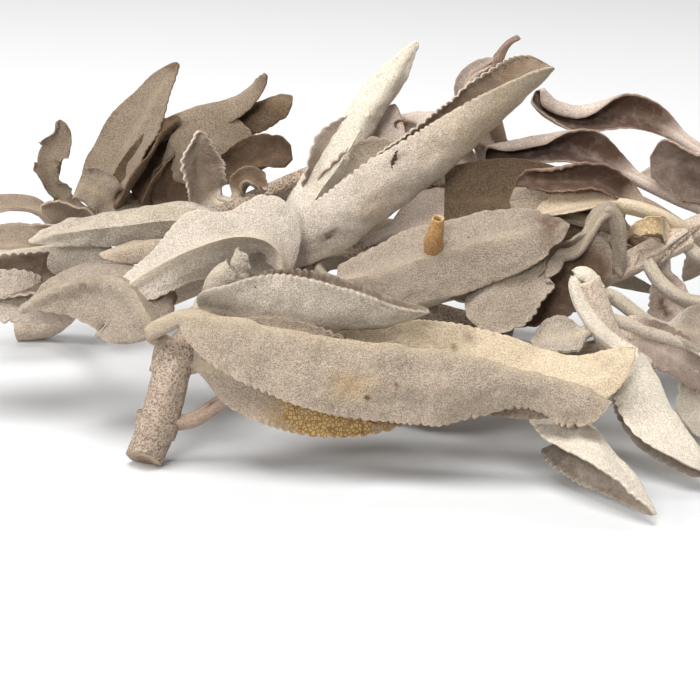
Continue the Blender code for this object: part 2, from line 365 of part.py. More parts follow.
RIGHT_BACK_STEMS = [
    ("thick_stem", [(39, -5.5, 25.5), (47, -2, 28), (53, 2, 30), (61, 8, 32), (69, 13.5, 31),
                    (74.5, 17, 28.5)],
     [1.9, 2.0, 2.2, 2.0, 1.8, 1.6]),
    ("lump", [(50.5, 0, 29), (55, 3.5, 30.6)], [2.7, 2.9]),
]
RIGHT_BACK_LEAVES = [
    Leaf("looped_leaf", [(42.5, -3.5, 27), (43.8, -5, 27.6), (44.1, -6.2, 30), (43.5, -7.5, 34.5),
                         (42.3, -8, 37.5), (40.8, -8.5, 38.4), (39.2, -8.8, 37), (38.4, -9, 34),
                         (36.5, -9.3, 30.5), (33.5, -9.8, 27), (29.8, -10.5, 23.5), (26, -11.5, 20)],
         12.5, [(0.3, -0.3, 0.9), (0.5, -0.5, 0.7), (0.5, -0.9, 0.2), (0.3, -1, 0.2)], [(20, 20)],
         [(15, 15)], 0.5, (0.4, 0.7), (1.2, 4)),
    Leaf("oval_leaf", [(41.2, -8.5, 38), (39.5, -9.6, 37.2), (37.8, -10.3, 34.6), (35.8, -10.9, 31.9),
                       (32.6, -11.5, 31.4), (29.4, -12.2, 31.5), (26, -13.5, 28.2), (22.8, -15, 24.4),
                       (20.3, -16.3, 20.9)],
         12.5, [(0.2, -0.8, 0.5)], [(-80, 25)], [(-10, 5)], 0.36, (0.5, 0.4), (0.6, 3.5)),
    Leaf("upper_rolled_leaf", [(66, 12, 31), (66, 18, 37), (61.5, 19, 41), (56.1, 20.5, 44.6),
                               (52.8, 22, 46.4), (50.2, 22.5, 47.2), (47.1, 23, 47.6), (43.3, 23.5, 47.3),
                               (39.1, 24, 46.8), (35.2, 24.5, 48.2), (32.2, 25, 51)],
         11.5, [(0, -0.8, 0.5)], [(50, 50), (50, 50), (55, 55), (200, 70), (270, 80)], [(10, 10)], 0.4,
         (0.9, 0.3)),
    Leaf("lower_rolled_leaf", [(62, 9, 32), (60, 11, 33.5), (55.5, 11.5, 35.3), (50.5, 12.5, 37.6),
                               (45.5, 13, 40), (41.5, 13, 41.8), (37, 13.5, 43), (32.5, 14, 43.2),
                               (28, 14, 42.6), (23, 13.5, 41.5)],
         12.5, [(0, -0.7, 0.7)], [(50, 50), (50, 50), (60, 60), (200, 60), (240, 60)], [(10, 10)], 0.36,
         (0.9, 0.4)),
    Leaf("yellow_stalk_leaf", [(57, 4, 31.3), (54.5, 2.5, 33), (51, 1.8, 35), (46, 1.5, 36.5), (41, 1, 37),
                               (35.5, 0.5, 36.2), (30, 0.5, 34.8)],
         9, [(0, -0.3, 1)], [(40, 40)], [(10, 10)], 0.5),
    Leaf("square_leaf", [(50, 2, 29), (43, 4.5, 32), (36, 5.5, 34.5), (28.3, 6, 35.5), (21.7, 6.5, 36),
                         (15.8, 7, 36)],
         15, [(0, -1, 0.2)], [(20, 20)], [(0, 0)], 0.25, (0.45, 0.5), (0.5, 2.5), 0.86),
    Leaf("dark_fold_leaf", [(56, 5, 31.5), (50.5, 4.5, 35.2), (45.5, 4.5, 37.6), (41.5, 4, 39.5),
                            (36.8, 4, 40.4), (32, 4, 40.2), (27.5, 4, 39.4)],
         8, [(0, -0.7, 0.7)], [(50, 50), (50, 50), (130, 50), (160, 50)], [(10, 10)], 0.3, (0.6, 0.6)),
    Leaf("round_flap", [(46, 1.5, 31), (42, 1.8, 33), (37, 2, 34.2), (32.5, 2, 35.5), (29, 2, 36.6),
                        (26.3, 2, 37)],
         5.5, [(0, -0.9, 0.4)], [(30, 30)], [(0, 0)], 0.5, (0.5, 0.3)),
    Leaf("curled_end_leaf", [(58, 6, 31.5), (63, 8.5, 33.5), (66.5, 11, 36.8), (63, 11, 39),
                             (57.5, 11, 40.8), (50.5, 10.5, 42.6)],
         12, [(-0.3, -0.5, -0.8), (-0.3, -0.9, 0.2)], [(70, 70)], [(10, 10)], 0.35, (0.6, 0.35)),
    Leaf("grey_green_leaf", [(65, 11, 31.5), (64.5, 16, 35), (58, 15.5, 36.8), (49.5, 15, 38.5)],
         8, [(0, -0.5, 0.8)], [(20, 20)], [(0, 0)], 0.35),
    Leaf("drooping_leaf", [(49.5, -1, 28.5), (48.8, -3.5, 28), (51, -4.5, 25), (55, -4.5, 22.3),
                           (61, -3, 21), (72, -1, 20)],
         9, [(0, -0.5, 0.8)], [(30, 30)], [(10, 10)], 0.55),
    Leaf("holed_leaf", [(52, 1, 28.5), (52.5, 1, 23), (53.5, 0, 18), (54, -1, 13)],
         7, [(0, -1, 0.1)], [(30, 30)], [(0, 0)], 0.2),
    Leaf("side_stalk_leaf", [(54.5, 3, 31), (58, 2, 28), (64, 4, 26.5), (75, 6, 24)],
         11, [(0, -0.5, 0.8)], [(30, 30)], [(10, 10)], 0.4),
    Leaf("far_right_leaf", [(61, 8, 31.5), (66, 16, 29), (69, 26, 25), (68, 36, 19), (63, 43, 12)],
         14, [(0.4, 0.2, 1)], [(50, 50)], [(20, 20)], 0.2),
    Leaf("inner_right_leaf", [(47, -2, 28), (46, 8, 26), (50, 18, 25), (52, 28, 24), (48, 37, 21)],
         13, [(0.2, 0, 1)], [(50, 50)], [(20, 20)], 0.25),
    Leaf("rear_fold_leaf", [(49, 1, 29), (46, 12, 26), (40, 23, 24.5), (33, 35, 23.5)],
         14, [(0, 0.2, 1)], [(50, 50)], [(20, 20)], 0.15),
    Leaf("end_leaf", [(66, 11, 31.5), (69, 13, 25), (70.5, 16, 17), (70, 20, 9), (68, 24, 3)],
         12, [(1, 0, 0.3)], [(50, 50)], [(20, 20)], 0.2),
    Leaf("orange_scrap", [(53, 2, 31), (50.5, -2.5, 33.3), (47.5, -4.5, 34), (44.5, -6.5, 33)],
         5, [(0, -0.9, 0.5)], [(30, 30)], [(0, 0)], 0.1, (0.5, 0.8)),
]

SPRIGS = [
    ("front_sprig", FRONT_STEMS, FRONT_LEAVES, (0.62, 0.57, 0.49)),
    ("middle_sprig", MIDDLE_STEMS, MIDDLE_LEAVES, (0.64, 0.59, 0.52)),
    ("back_sprig", BACK_STEMS, BACK_LEAVES, (0.45, 0.39, 0.32)),
    ("left_sprig", LEFT_STEMS, LEFT_LEAVES, (0.58, 0.53, 0.46)),
    ("right_sprig", RIGHT_STEMS, RIGHT_LEAVES, (0.60, 0.55, 0.47)),
    ("right_back_sprig", RIGHT_BACK_STEMS, RIGHT_BACK_LEAVES, (0.56, 0.48, 0.43)),
]
BROAD = 10.5  # leaves wider than this get the finer of two grids
BROAD_PLACES = (-1, -0.5, 0, 0.5, 1)
NARROW_PLACES = (-1, 0, 1)
STATION_STEP = 6.5  # length of a leaf between two rows of its grid
TOOTH_DEPTH = 0.6
STEM_SEGMENT = 7.0  # length of one straight stretch of a stem
TABLE = 0.0  # height of the surface that the bunch lies on


def clear_scene():
    for thing in list(bpy.data.objects):
        bpy.data.objects.remove(thing, do_unlink=True)


def coarse_leaf(leaf):
    """A leaf with one big scallop of its margin for each pair of stations."""
    length = path_length(leaf.path)
    stalk_rows = max(1, round(length * leaf.stalk / STATION_STEP))
    blade_rows = max(4, round(length * (1 - leaf.stalk) / STATION_STEP))
    shares = np.concatenate([
        np.linspace(0, leaf.stalk, stalk_rows, endpoint=False),
        leaf.stalk + (1 - leaf.stalk) * np.linspace(0, 1, blade_rows + 1),
    ])

    def scallops(places, side):
        pulled_in = (np.arange(len(places)) + (side > 0)) % 2
        return -TOOTH_DEPTH * pulled_in * (places > leaf.stalk) * (places < 1)

    places = BROAD_PLACES if leaf.width > BROAD else NARROW_PLACES
    return closed_sheet(*blade_points(leaf, shares, places, scallops))


def coarse_stem(path, radii):
    return tube(path, radii, STEM_SIDES, max(1, round(path_length(path) / STEM_SEGMENT)))


def add_solid(name, points, faces, collection):
    mesh = bpy.data.meshes.new(name)
    mesh.from_pydata([tuple(point) for point in points * MM], [], [tuple(map(int, face)) for face in faces])
    solid = bpy.data.objects.new(name, mesh)
    collection.objects.link(solid)
    return solid


def leaf_material(name, colour):
    material = bpy.data.materials.new(name)
    material.use_nodes = True
    shader = material.node_tree.nodes["Principled BSDF"]
    shader.inputs["Base Color"].default_value = (*colour, 1)
    shader.inputs["Roughness"].default_value = 0.9
    shader.inputs["Metallic"].default_value = 0
    return material


def flatten_contact(mesh):
    """Cut away what is below the table, so that the stem stands on its own cut face."""
    shell = bmesh.new()
    shell.from_mesh(mesh)
    everything = shell.verts[:] + shell.edges[:] + shell.faces[:]
    cut = bmesh.ops.bisect_plane(shell, geom=everything, dist=1e-7, plane_co=(0, 0, TABLE),
                                 plane_no=(0, 0, 1), clear_inner=True)
    rim = [item for item in cut["geom_cut"] if isinstance(item, bmesh.types.BMEdge)]
    bmesh.ops.contextual_create(shell, geom=rim)
    bmesh.ops.triangulate(shell, faces=shell.faces[:])
    bmesh.ops.recalc_face_normals(shell, faces=shell.faces[:])
    shell.to_mesh(mesh)
    shell.free()


def build_sprig(name, stems, leaves, colour):
    """One sprig: its stems and leaves joined in one closed body."""
    shapes = [(stem, *coarse_stem(path, radii)) for stem, path, radii in stems]
    shapes += [(leaf.name, *coarse_leaf(leaf)) for leaf in leaves]
    pieces = bpy.data.collections.new(name + "_pieces")
    bpy.context.scene.collection.children.link(pieces)
    sprig = add_solid(name, shapes[0][1], shapes[0][2], bpy.context.scene.collection)
    for label, points, faces in shapes[1:]:
        add_solid(label, points, faces, pieces)
    join = sprig.modifiers.new("join", "BOOLEAN")
    join.operation = "UNION"
    join.operand_type = "COLLECTION"
    join.collection = pieces
    join.solver = "MANIFOLD"
    bpy.context.view_layer.update()
    joined = bpy.data.meshes.new_from_object(sprig.evaluated_get(bpy.context.evaluated_depsgraph_get()))
    sprig.modifiers.clear()
    sprig.data = joined
    for piece in list(pieces.objects):
        bpy.data.objects.remove(piece, do_unlink=True)
    bpy.data.collections.remove(pieces)
    if min(vertex.co.z for vertex in joined.vertices) < TABLE * MM:
        flatten_contact(joined)
    joined.materials.clear()
    joined.materials.append(leaf_material(name + "_leaf", colour))
    return sprig


def main():
    clear_scene()
    for name, stems, leaves, colour in SPRIGS:
        build_sprig(name, stems, leaves, colour)


if __name__ == "__main__":
    main()
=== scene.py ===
"""Looks of the dried white sage bunch: felted leaves, woody stems, the floor, the light and the camera.

Lengths in the tables and functions are millimetres, as in the part's own source, and turn into metres
where a mesh is made. +X runs along the bunch, +Y away from its front, +Z up, and the floor is z = 0.
"""

import itertools
import math
from collections import namedtuple

import bpy
import numpy as np
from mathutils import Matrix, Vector


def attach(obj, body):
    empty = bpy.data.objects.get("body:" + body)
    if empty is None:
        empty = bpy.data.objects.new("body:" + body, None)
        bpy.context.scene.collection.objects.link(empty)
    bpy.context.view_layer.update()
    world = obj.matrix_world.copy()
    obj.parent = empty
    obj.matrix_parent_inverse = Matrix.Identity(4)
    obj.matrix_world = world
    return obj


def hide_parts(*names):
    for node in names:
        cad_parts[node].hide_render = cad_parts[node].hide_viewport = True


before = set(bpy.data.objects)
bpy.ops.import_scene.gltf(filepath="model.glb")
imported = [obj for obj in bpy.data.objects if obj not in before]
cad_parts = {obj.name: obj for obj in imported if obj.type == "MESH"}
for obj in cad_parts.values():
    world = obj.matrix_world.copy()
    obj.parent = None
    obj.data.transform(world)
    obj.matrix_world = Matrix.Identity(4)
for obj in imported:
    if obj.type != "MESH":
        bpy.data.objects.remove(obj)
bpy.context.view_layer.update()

MM = 0.001
CURVE_STEPS = 24  # of a smooth curve, from one of its points to the next
FIRST_SEED = 110
SEED_STEP = 10  # each stem and leaf has its own run of random numbers

# A leaf's blade and stalk.
STALK_HALF_WIDTH = 1.05
STALK_SKIN = 1.7  # thickness of a leaf stalk at its middle
BEAD = 0.45  # how much thicker the blade is along its margin, as a share of its skin
BEAD_INSET = 0.3
BEAD_WIDTH = 0.3
PILLOW = 0.8  # how far each tooth of the margin swells out of the blade, as a share of its depth
PILLOW_REACH = 0.9
TOOTH_LIMIT = 0.1  # a tooth widens the blade by this share at the most
TOOTH_DRIFT = 0.9  # how far the teeth run ahead or behind, in teeth
TOOTH_SIZE, TOOTH_SPREAD = 0.65, 0.5  # mean size of the teeth and how uneven it is, in depths of a tooth
TOOTH_ROUNDNESS, TOOTH_MIDDLE = 0.7, 0.75  # blunt teeth, narrow notches, and where the plain margin lies
TEETH_START = 0.12  # share of the path over which the teeth grow out of the stalk
RAGGED, COARSE_RAGS, FINE_RAGS = 0.5, 0.3, 0.35  # of a torn stretch, as shares of its depth
RIPPLE_LENGTH = 3.2
DENT_LENGTH, DENT_WIDTH = 4.5, 3
SMALL_DENT_LENGTH, SMALL_DENT_WIDTH, SMALL_DENT_DEPTH = 1.6, 1.3, 0.5
LEAST_WIDTH = 0.05
TIP_START, TIP_END = 0.985, 1.003  # shares of the path between which the tip is rounded off
GROOVE_DEPTH, GROOVE_WIDTH = 0.35, 0.45  # of the midrib, on the upper side
RIB_DEPTH, RIB_WIDTH = 0.9, 0.75  # how far the midrib stands out below the blade, at the blade's base
GROOVE_FADE, RIB_FADE = 0.7, 0.75  # share of each that is gone at the leaf's tip
CURL_POWER, FOLD_POWER = 0.8, 0.5  # how fast the curl and the fold open where the leaf is narrow
CREASE_SHARPNESS = 8  # the fold at the midrib takes up one part in so many of the half
THIN_MARGIN = 0.3  # how much thinner the blade is at its margin, as a share of its skin
THICK_BASE = 0.5  # how much thicker the blade is where the stalk enters it
STALK_ROUNDNESS, STALK_EDGE = 0.93, 0.05  # how much of the stalk's round section is kept, and its least share
RIM_MARK, RIB_MARK = 0.45, 0.8  # widths of the marks that colour the rim and the rib
RIM_ON_BROWN_SHADED_INSIDE = 0.4  # share of the rim's mark that shows on the inside, which is dry brown and painted shade
VEIN_SPACING = 2.9
VEIN_SLANT = 0.75
LEAST_ROWS, LEAST_COLUMNS = 24, 6  # of a leaf's grid, the columns for each half
SHARP_ANGLE = math.radians(55)

# A woody stem.
STEM_SIDES = 40
STEM_STEP = 0.45  # spacing of its rings
LEAST_RINGS = 8
STEM_RIBS, STEM_RIB_DEPTH = 4, 0.035  # the depth as a share of the radius
BARK_DENT_LENGTH, BARK_GRAIN_LENGTH, BARK_GRAIN_DEPTH = 5, 1.2, 0.4
BARK_GRAINS = 16  # round the stem
CUT_REACH = 3  # a slanting cut changes the stem over so many radii
LEAST_CAP = 0.01  # share of the rim that the innermost ring of an end keeps

# path     points that the midrib runs through, from inside the stem, along the stalk, to the leaf's tip
# width    widest part of the blade, measured round its curl
# face     which way the upper side of the leaf looks, evenly spaced from the root to the tip
# curl     how far the right and the left half roll towards the upper side, in degrees, from root to tip
# fold     the crease of each half at the midrib, in degrees
# stalk    share of the path that is leaf stalk
# ends     how the blade narrows to its base and to its tip, small values being blunt
# wave     how far the margin waves out of the blade, and how many waves it has
# snap     share of the blade that is left, 1 where the tip is whole
# bites    pieces missing from the margin: (place along the path, side, share of the half, length share)
Leaf = namedtuple(
    "Leaf", "name path width face curl fold stalk ends wave snap bites",
    defaults=(((0, 0, 1),), ((30, 30),), ((0, 0),), 0.2, (0.75, 0.85), (0.5, 2.5), 1.0, ()),
)

# finish    name of the leaf's finish, a key of FINISH_TONES
# step      spacing of the leaf's grid
# teeth     length and depth of one rounded tooth of the margin
# flutter   how far the margin ripples out of the blade between its big waves
# wrinkle   depth of the shallow dents all over the blade
# veins     height of the side veins
# inner     how far the upper side, which is the inside of a rolled leaf, takes the inner tone, 0 to 1: dry brown and painted shade
# stains    ochre patches: (share of the path, place across, length, width, strength)
# browns    dark brown patches, given in the same way: dry spots and cracks, and painted shade on a crease
# holes     holes and cracks: (share of the path, place across, half length, half width, turn in degrees)
# torn      ragged stretches of the margin: (first share, last share, side, depth)
# skin      thickness of the blade
# folds     long creases along the blade: (place across, width, height)
Detail = namedtuple(
    "Detail", "finish step teeth flutter wrinkle veins inner stains browns holes torn skin folds",
    defaults=("warm_felt", 0.55, (1.5, 0.3), 0.3, 0.16, 0.05, 0.4, (), (), (), (), 0.45, ()),
)

# A leaf laid flat, with a row for each station along its path and a column for each place across it.
# length     length of the path
# shares     share of the path that lies behind each station
# run        distance along the path
# off        distance off the midrib, below 0 on the left
# half       half width at each station
# fullness   the half width as a share of the widest one
# blade      share of the blade that lies behind each station, 0 on the stalk
# reach      place across as a share of the half width, 0 at the midrib and 1 at the margin
# side       1 on the right half and -1 on the left
Grid = namedtuple("Grid", "length shares run off half fullness blade reach side")

# Ends of a stem: (share of the radius, height out of the end, how dark) from the rim to the middle.
PLAIN_END = ((0.0, 0.0, 0.0),)
CUT_END = ((0.96, 0.05, 0.1), (0.8, 0.12, 0.2), (0.5, 0.02, 0.3), (0.3, -0.15, 0.5), (0.0, -0.2, 0.6))
# the dark inside of a hollow end is dark pith and painted shade in the hole
HOLLOW_END = ((0.9, 0.15, 0.0), (0.7, 0.05, 0.1), (0.56, -0.5, 0.6), (0.5, -1.6, 1.0), (0.0, -2.0, 1.0))

# path     points that the middle of the stem runs through
# radii    its radius, evenly spaced from the first end to the last
# finish   name of the stem's finish, a key of FINISH_TONES
# start    the shape of its first end
# end      the shape of its last end
# cut      direction that a slanting first end looks in, or None where it is square
# rough    depth of its dents, as a share of the radius
Stem = namedtuple(
    "Stem", "name path radii finish start end cut rough",
    defaults=(PLAIN_END, PLAIN_END, None, 0.06),
)


def even_points(points, shares):
    """Points at the given shares of the length of a smooth curve through some points."""
    points = np.asarray(points, float)
    if len(points) == 2:
        return points[0] + np.outer(shares, points[1] - points[0])
    ends = 2 * points[0] - points[1], 2 * points[-1] - points[-2]
    knots = np.vstack([ends[0], points, ends[1]])
    steps = np.linspace(0, 1, CURVE_STEPS, endpoint=False)[:, None]
    dense = []
    for a, b, c, d in zip(knots, knots[1:], knots[2:], knots[3:]):
        dense.append(0.5 * (2 * b + (c - a) * steps + (2 * a - 5 * b + 4 * c - d) * steps**2
                            + (3 * b - a - 3 * c + d) * steps**3))
    dense = np.vstack([*dense, points[-1:]])
    run = np.concatenate([[0], np.cumsum(np.linalg.norm(np.diff(dense, axis=0), axis=1))])
    return np.column_stack([np.interp(np.asarray(shares) * run[-1], run, dense[:, k]) for k in range(3)])


def along(values, shares):
    """Values given evenly from root to tip, blended at the given shares."""
    values = np.asarray(values, float)
    places = np.linspace(0, 1, len(values))
    return np.column_stack([np.interp(shares, places, values[:, k]) for k in range(values.shape[1])])


def path_length(points):
    return float(np.sum(np.linalg.norm(np.diff(np.array(points, float), axis=0), axis=1)))


def unit(vectors):
    return vectors / np.maximum(np.linalg.norm(vectors, axis=-1, keepdims=True), 1e-9)


def smooth_step(low, high, values):
    share = np.clip((values - low) / (high - low), 0, 1)
    return share * share * (3 - 2 * share)


def hump(distance, width):
    """A soft round hump, 1 at no distance and fading out over the width."""
    return np.exp(-((distance / width) ** 2))


def dents(u, v, seed):
    """Smooth random relief from -1 to 1 over two coordinates, about one dent to each unit."""
    table = np.random.default_rng(seed).uniform(-1, 1, (64, 64))
    i, j = np.floor(u).astype(int), np.floor(v).astype(int)
    a, b = u - i, v - j
    a, b = a * a * (3 - 2 * a), b * b * (3 - 2 * b)
    near = table[i % 64, j % 64] * (1 - a) + table[(i + 1) % 64, j % 64] * a
    far = table[i % 64, (j + 1) % 64] * (1 - a) + table[(i + 1) % 64, (j + 1) % 64] * a
    return near * (1 - b) + far * b


def outline(leaf, shares):
    """Half width of the leaf along its path: a stalk, then a lance-shaped blade."""
    blade = np.clip((shares - leaf.stalk) / (1 - leaf.stalk), 0, 1) * leaf.snap
    fore, aft = leaf.ends
    belly = fore / (fore + aft)
    lance = (blade / belly) ** fore * ((1 - blade) / (1 - belly)) ** aft
    return np.sqrt((leaf.width / 2 * lance) ** 2 + STALK_HALF_WIDTH**2 * np.clip(1.2 - blade, 0.3, 1))


def flat_grid(leaf, shares, across):
    """The leaf laid flat, at the given shares of its path and places across."""
    length = path_length(leaf.path)
    half = outline(leaf, shares)[:, None]
    return Grid(
        length=length,
        shares=shares[:, None],
        run=np.repeat((shares * length)[:, None], len(across), axis=1),
        off=across[None, :] * half,
        half=half,
        fullness=half / half.max(),
        blade=np.clip((shares - leaf.stalk) / (1 - leaf.stalk), 0, 1)[:, None],
        reach=np.abs(across)[None, :],
        side=np.where(across > 0, 1, -1)[None, :],
    )


def on_halves(grid, right, left):
    """Values of the right and the left half, spread over the places across."""
    return np.where(grid.side > 0, right[:, None], left[:, None])


def margin_shape(leaf, detail, shares, side, seed):
    """How far the margin stands out or is torn back along one side of the leaf."""
    run = shares * path_length(leaf.path)
    pitch, depth = detail.teeth
    row = np.full(len(shares), 7.3 * side)
    phase = run / pitch + TOOTH_DRIFT * dents(run / 5, row, seed)
    scallop = np.abs(np.sin(np.pi * phase)) ** TOOTH_ROUNDNESS - TOOTH_MIDDLE
    size = TOOTH_SIZE + TOOTH_SPREAD * dents(run / 3, row + 20, seed + 1)
    shape = depth * size * scallop * smooth_step(leaf.stalk, leaf.stalk + TEETH_START, shares)
    rags = RAGGED + COARSE_RAGS * dents(run / 2.2, row, seed + 2)
    rags = rags + FINE_RAGS * dents(run / 0.8, row, seed + 3)
    for first, last, torn_side, torn_depth in detail.torn:
        if torn_side == side:
            shape = shape - torn_depth * rags * ((shares > first) & (shares < last))
    return shape


def blade_width(leaf, grid, margin):
    """Width of the half blade at each place, with its bites, its teeth and its rounded tip."""
    width = np.repeat(grid.half, grid.off.shape[1], axis=1)
    for where, bitten, depth, bite_length in leaf.bites:
        bite = 1 - depth * hump(grid.shares - where, bite_length)
        width = np.where(grid.side == bitten, width * bite, width)
    teeth = np.minimum(margin, width * TOOTH_LIMIT) * grid.reach**6
    tip = np.sqrt(1 - smooth_step(TIP_START, TIP_END, grid.shares)) if leaf.snap == 1 else 1.0
    return np.maximum((width + teeth) * tip, LEAST_WIDTH)


def run_out(slope, across):
    """How far each half blade has run from the midrib to each place across, for its slope at each place."""
    gain = (slope[:, 1:] + slope[:, :-1]) / 2 * np.diff(across)
    total = np.concatenate([np.zeros((len(slope), 1)), np.cumsum(gain, axis=1)], axis=1)
    return (total - total[:, [len(across) // 2]]) * np.where(across < 0, -1, 1)


def relief(leaf, detail, grid, margin, seed):
    """How far each place stands out of the smooth blade: waves, teeth, ripples, dents, creases and veins."""
    run, off, reach = grid.run, grid.off, grid.reach
    swing, waves = leaf.wave
    wave = swing * reach**2 * grid.fullness * np.sin(2 * np.pi * waves * grid.shares + grid.side)
    teeth = PILLOW * margin * np.exp(-(1 - reach) * grid.half / PILLOW_REACH)
    ripple = detail.flutter * reach**3 * dents(run / RIPPLE_LENGTH, grid.side * 9.5 + 0 * run, seed + 4)
    broad = dents(run / DENT_LENGTH, off / DENT_WIDTH, seed + 5)
    small = dents(run / SMALL_DENT_LENGTH, off / SMALL_DENT_WIDTH, seed + 6)
    hollows = detail.wrinkle * (broad + SMALL_DENT_DEPTH * small)
    for place, crease_width, height in detail.folds:
        hollows = hollows + height * hump(off - place * grid.half, crease_width)
    slant = 2 * np.pi * (run - VEIN_SLANT * np.abs(off)) / VEIN_SPACING
    vein = np.cos(slant + dents(run / 4, off / 4, seed + 7)) * 0.5 + 0.5
    veins = detail.veins * vein**5 * np.sin(np.pi * np.sqrt(reach))
    on_blade = smooth_step(0, 0.15, grid.blade) * smooth_step(0, 0.05, 1 - grid.blade)
    return wave - teeth + on_blade * (ripple + hollows - veins)


def skin_depth(detail, grid):
    """Thickness of the leaf at each place: a thin blade with a beaded margin, and a round stalk."""
    stalk_round = 1 - smooth_step(0, 0.18, grid.blade)
    from_margin = (1 - grid.reach) * grid.half
    bead = hump(from_margin - BEAD_INSET, BEAD_WIDTH) * smooth_step(0.03, 0.12, grid.blade)
    flat_skin = detail.skin * (1 - THIN_MARGIN * grid.reach**5 + bead * BEAD)
    flat_skin = flat_skin + THICK_BASE * stalk_round * (1 - grid.reach)
    round_skin = STALK_SKIN * np.sqrt(np.maximum(1 - STALK_ROUNDNESS * grid.reach**2, STALK_EDGE))
    return flat_skin + (round_skin - flat_skin) * stalk_round


def spots(places, grid):
    """Strength of soft round patches given by their place on the leaf."""
    mask = np.zeros(grid.run.shape)
    for share, place, length, width, strength in places:
        along_leaf = share * grid.length
        centre = place * np.interp(along_leaf, grid.run[:, 0], grid.half[:, 0])
        distance = ((grid.run - along_leaf) / length) ** 2 + ((grid.off - centre) / width) ** 2
        mask += strength * np.exp(-distance)
    return mask


def leaf_marks(detail, grid):
    """The marks of the upper and of the lower skin: rim, rib, stains, browns and the inside (dry brown and
    painted shade).
    """
    from_margin = (1 - grid.reach) * grid.half
    rim = hump(from_margin, RIM_MARK) * smooth_step(0.02, 0.1, grid.blade)
    rib = hump(grid.off, RIB_MARK) * (1 - 0.4 * grid.blade)
    stain, brown = spots(detail.stains, grid), spots(detail.browns, grid)
    nothing = np.zeros(grid.run.shape)
    # the inner mark of the upper side: dry brown and painted shade
    inner = detail.inner * smooth_step(0, 0.2, grid.blade) + nothing
    upper = [np.where(inner > 0, rim * RIM_ON_BROWN_SHADED_INSIDE, rim), rib, stain, brown, inner]
    lower = [rim, rib, stain, brown, nothing]
    return [np.stack(upper, axis=-1), np.stack(lower, axis=-1)]


def blade_points(leaf, detail, shares, across, seed):
    """Upper and lower skin points of a leaf and the marks of its two skins, by stations and places across."""
    grid = flat_grid(leaf, shares, across)
    margin = on_halves(grid, *[margin_shape(leaf, detail, shares, side, seed) for side in (1, -1)])
    width = blade_width(leaf, grid, margin)

    spine = even_points(leaf.path, shares)
    ahead = unit(np.gradient(spine, axis=0))
    face = along(leaf.face, shares)
    up = unit(face - ahead * np.sum(face * ahead, axis=1, keepdims=True))
    right = np.cross(ahead, up)

    curl = on_halves(grid, *np.radians(along(leaf.curl, shares)).T) * grid.fullness**CURL_POWER
    fold = on_halves(grid, *np.radians(along(leaf.fold, shares)).T) * grid.fullness**FOLD_POWER
    turn = fold * np.minimum(1, grid.reach * CREASE_SHARPNESS) + curl * grid.reach
    out, rise = width * run_out(np.cos(turn), across), width * run_out(np.sin(turn), across)
    normal = -(grid.side * np.sin(turn))[..., None] * right[:, None] + np.cos(turn)[..., None] * up[:, None]
    middle = spine[:, None] + (grid.side * out)[..., None] * right[:, None] + rise[..., None] * up[:, None]
    middle = middle + relief(leaf, detail, grid, margin, seed)[..., None] * normal

    skin = skin_depth(detail, grid)
    groove = GROOVE_DEPTH * hump(grid.off, GROOVE_WIDTH) * (1 - GROOVE_FADE * grid.blade)
    keel = RIB_DEPTH * (1 - RIB_FADE * grid.blade) * hump(grid.off, RIB_WIDTH)
    upper = middle + normal * (skin / 2 - groove)[..., None]
    lower = middle - normal * (skin / 2 + keel)[..., None]
    return upper, lower, leaf_marks(detail, grid)


def kept_cells(detail, leaf, shares, across, seed):
    """Which cells of the leaf's grid are left, where holes and cracks go through it."""
    grid = flat_grid(leaf, (shares[1:] + shares[:-1]) / 2, (across[1:] + across[:-1]) / 2)
    kept = np.ones(grid.run.shape, bool)
    for share, place, half_length, half_width, turn in detail.holes:
        du = grid.run - share * grid.length
        dv = grid.off - place * np.interp(share, grid.shares[:, 0], grid.half[:, 0])
        c, s = math.cos(math.radians(turn)), math.sin(math.radians(turn))
        u, v = (du * c + dv * s) / half_length, (dv * c - du * s) / half_width
        rough = 0.35 * dents(grid.run / 0.9, grid.off / 0.9, seed + 9)
        kept &= u**2 + (v + rough) ** 2 > 1
    return kept


def closed_sheet(upper, lower, kept):
    """Points and faces of the closed sheet between two skins, with walls round it and round its holes."""
    n, m = upper.shape[:2]
    low = n * m
    i, j = np.nonzero(kept)
    a = i * m + j
    quad = np.column_stack([a, a + 1, a + m + 1, a + m])
    faces = [quad, low + quad[:, ::-1]]
    padded = np.pad(kept, 1)
    for di, dj, first, second in ((-1, 0, 0, 1), (0, 1, 1, 2), (1, 0, 2, 3), (0, -1, 3, 0)):
        open_side = ~padded[i + 1 + di, j + 1 + dj]
        p, q = quad[open_side, first], quad[open_side, second]
        faces.append(np.column_stack([q, p, low + p, low + q]))
    used, faces = np.unique(np.vstack(faces), return_inverse=True)
    points = np.vstack([upper.reshape(-1, 3), lower.reshape(-1, 3)])[used]
    return points, faces.reshape(-1, 4), used


def mesh_piece(name, points, faces, marks, finish):
    """A named mesh object in metres, with its marks as attributes and its finish as its material."""
    mesh = bpy.data.meshes.new(name)
    mesh.from_pydata((points * MM).tolist(), [], faces)
    colours = mesh.attributes.new("marks", "FLOAT_COLOR", "POINT")
    colours.data.foreach_set("color", np.ascontiguousarray(marks[:, :4], np.float32).ravel())
    # the inner mark as its own attribute: dry brown and painted shade on the upper side
    inside = mesh.attributes.new("inside", "FLOAT", "POINT")
    inside.data.foreach_set("value", np.ascontiguousarray(marks[:, 4], np.float32))
    mesh.materials.append(FINISHES[finish])
    mesh.shade_smooth()
    mesh.set_sharp_from_angle(angle=SHARP_ANGLE)
    piece = bpy.data.objects.new(name, mesh)
    bpy.context.scene.collection.objects.link(piece)
    return piece


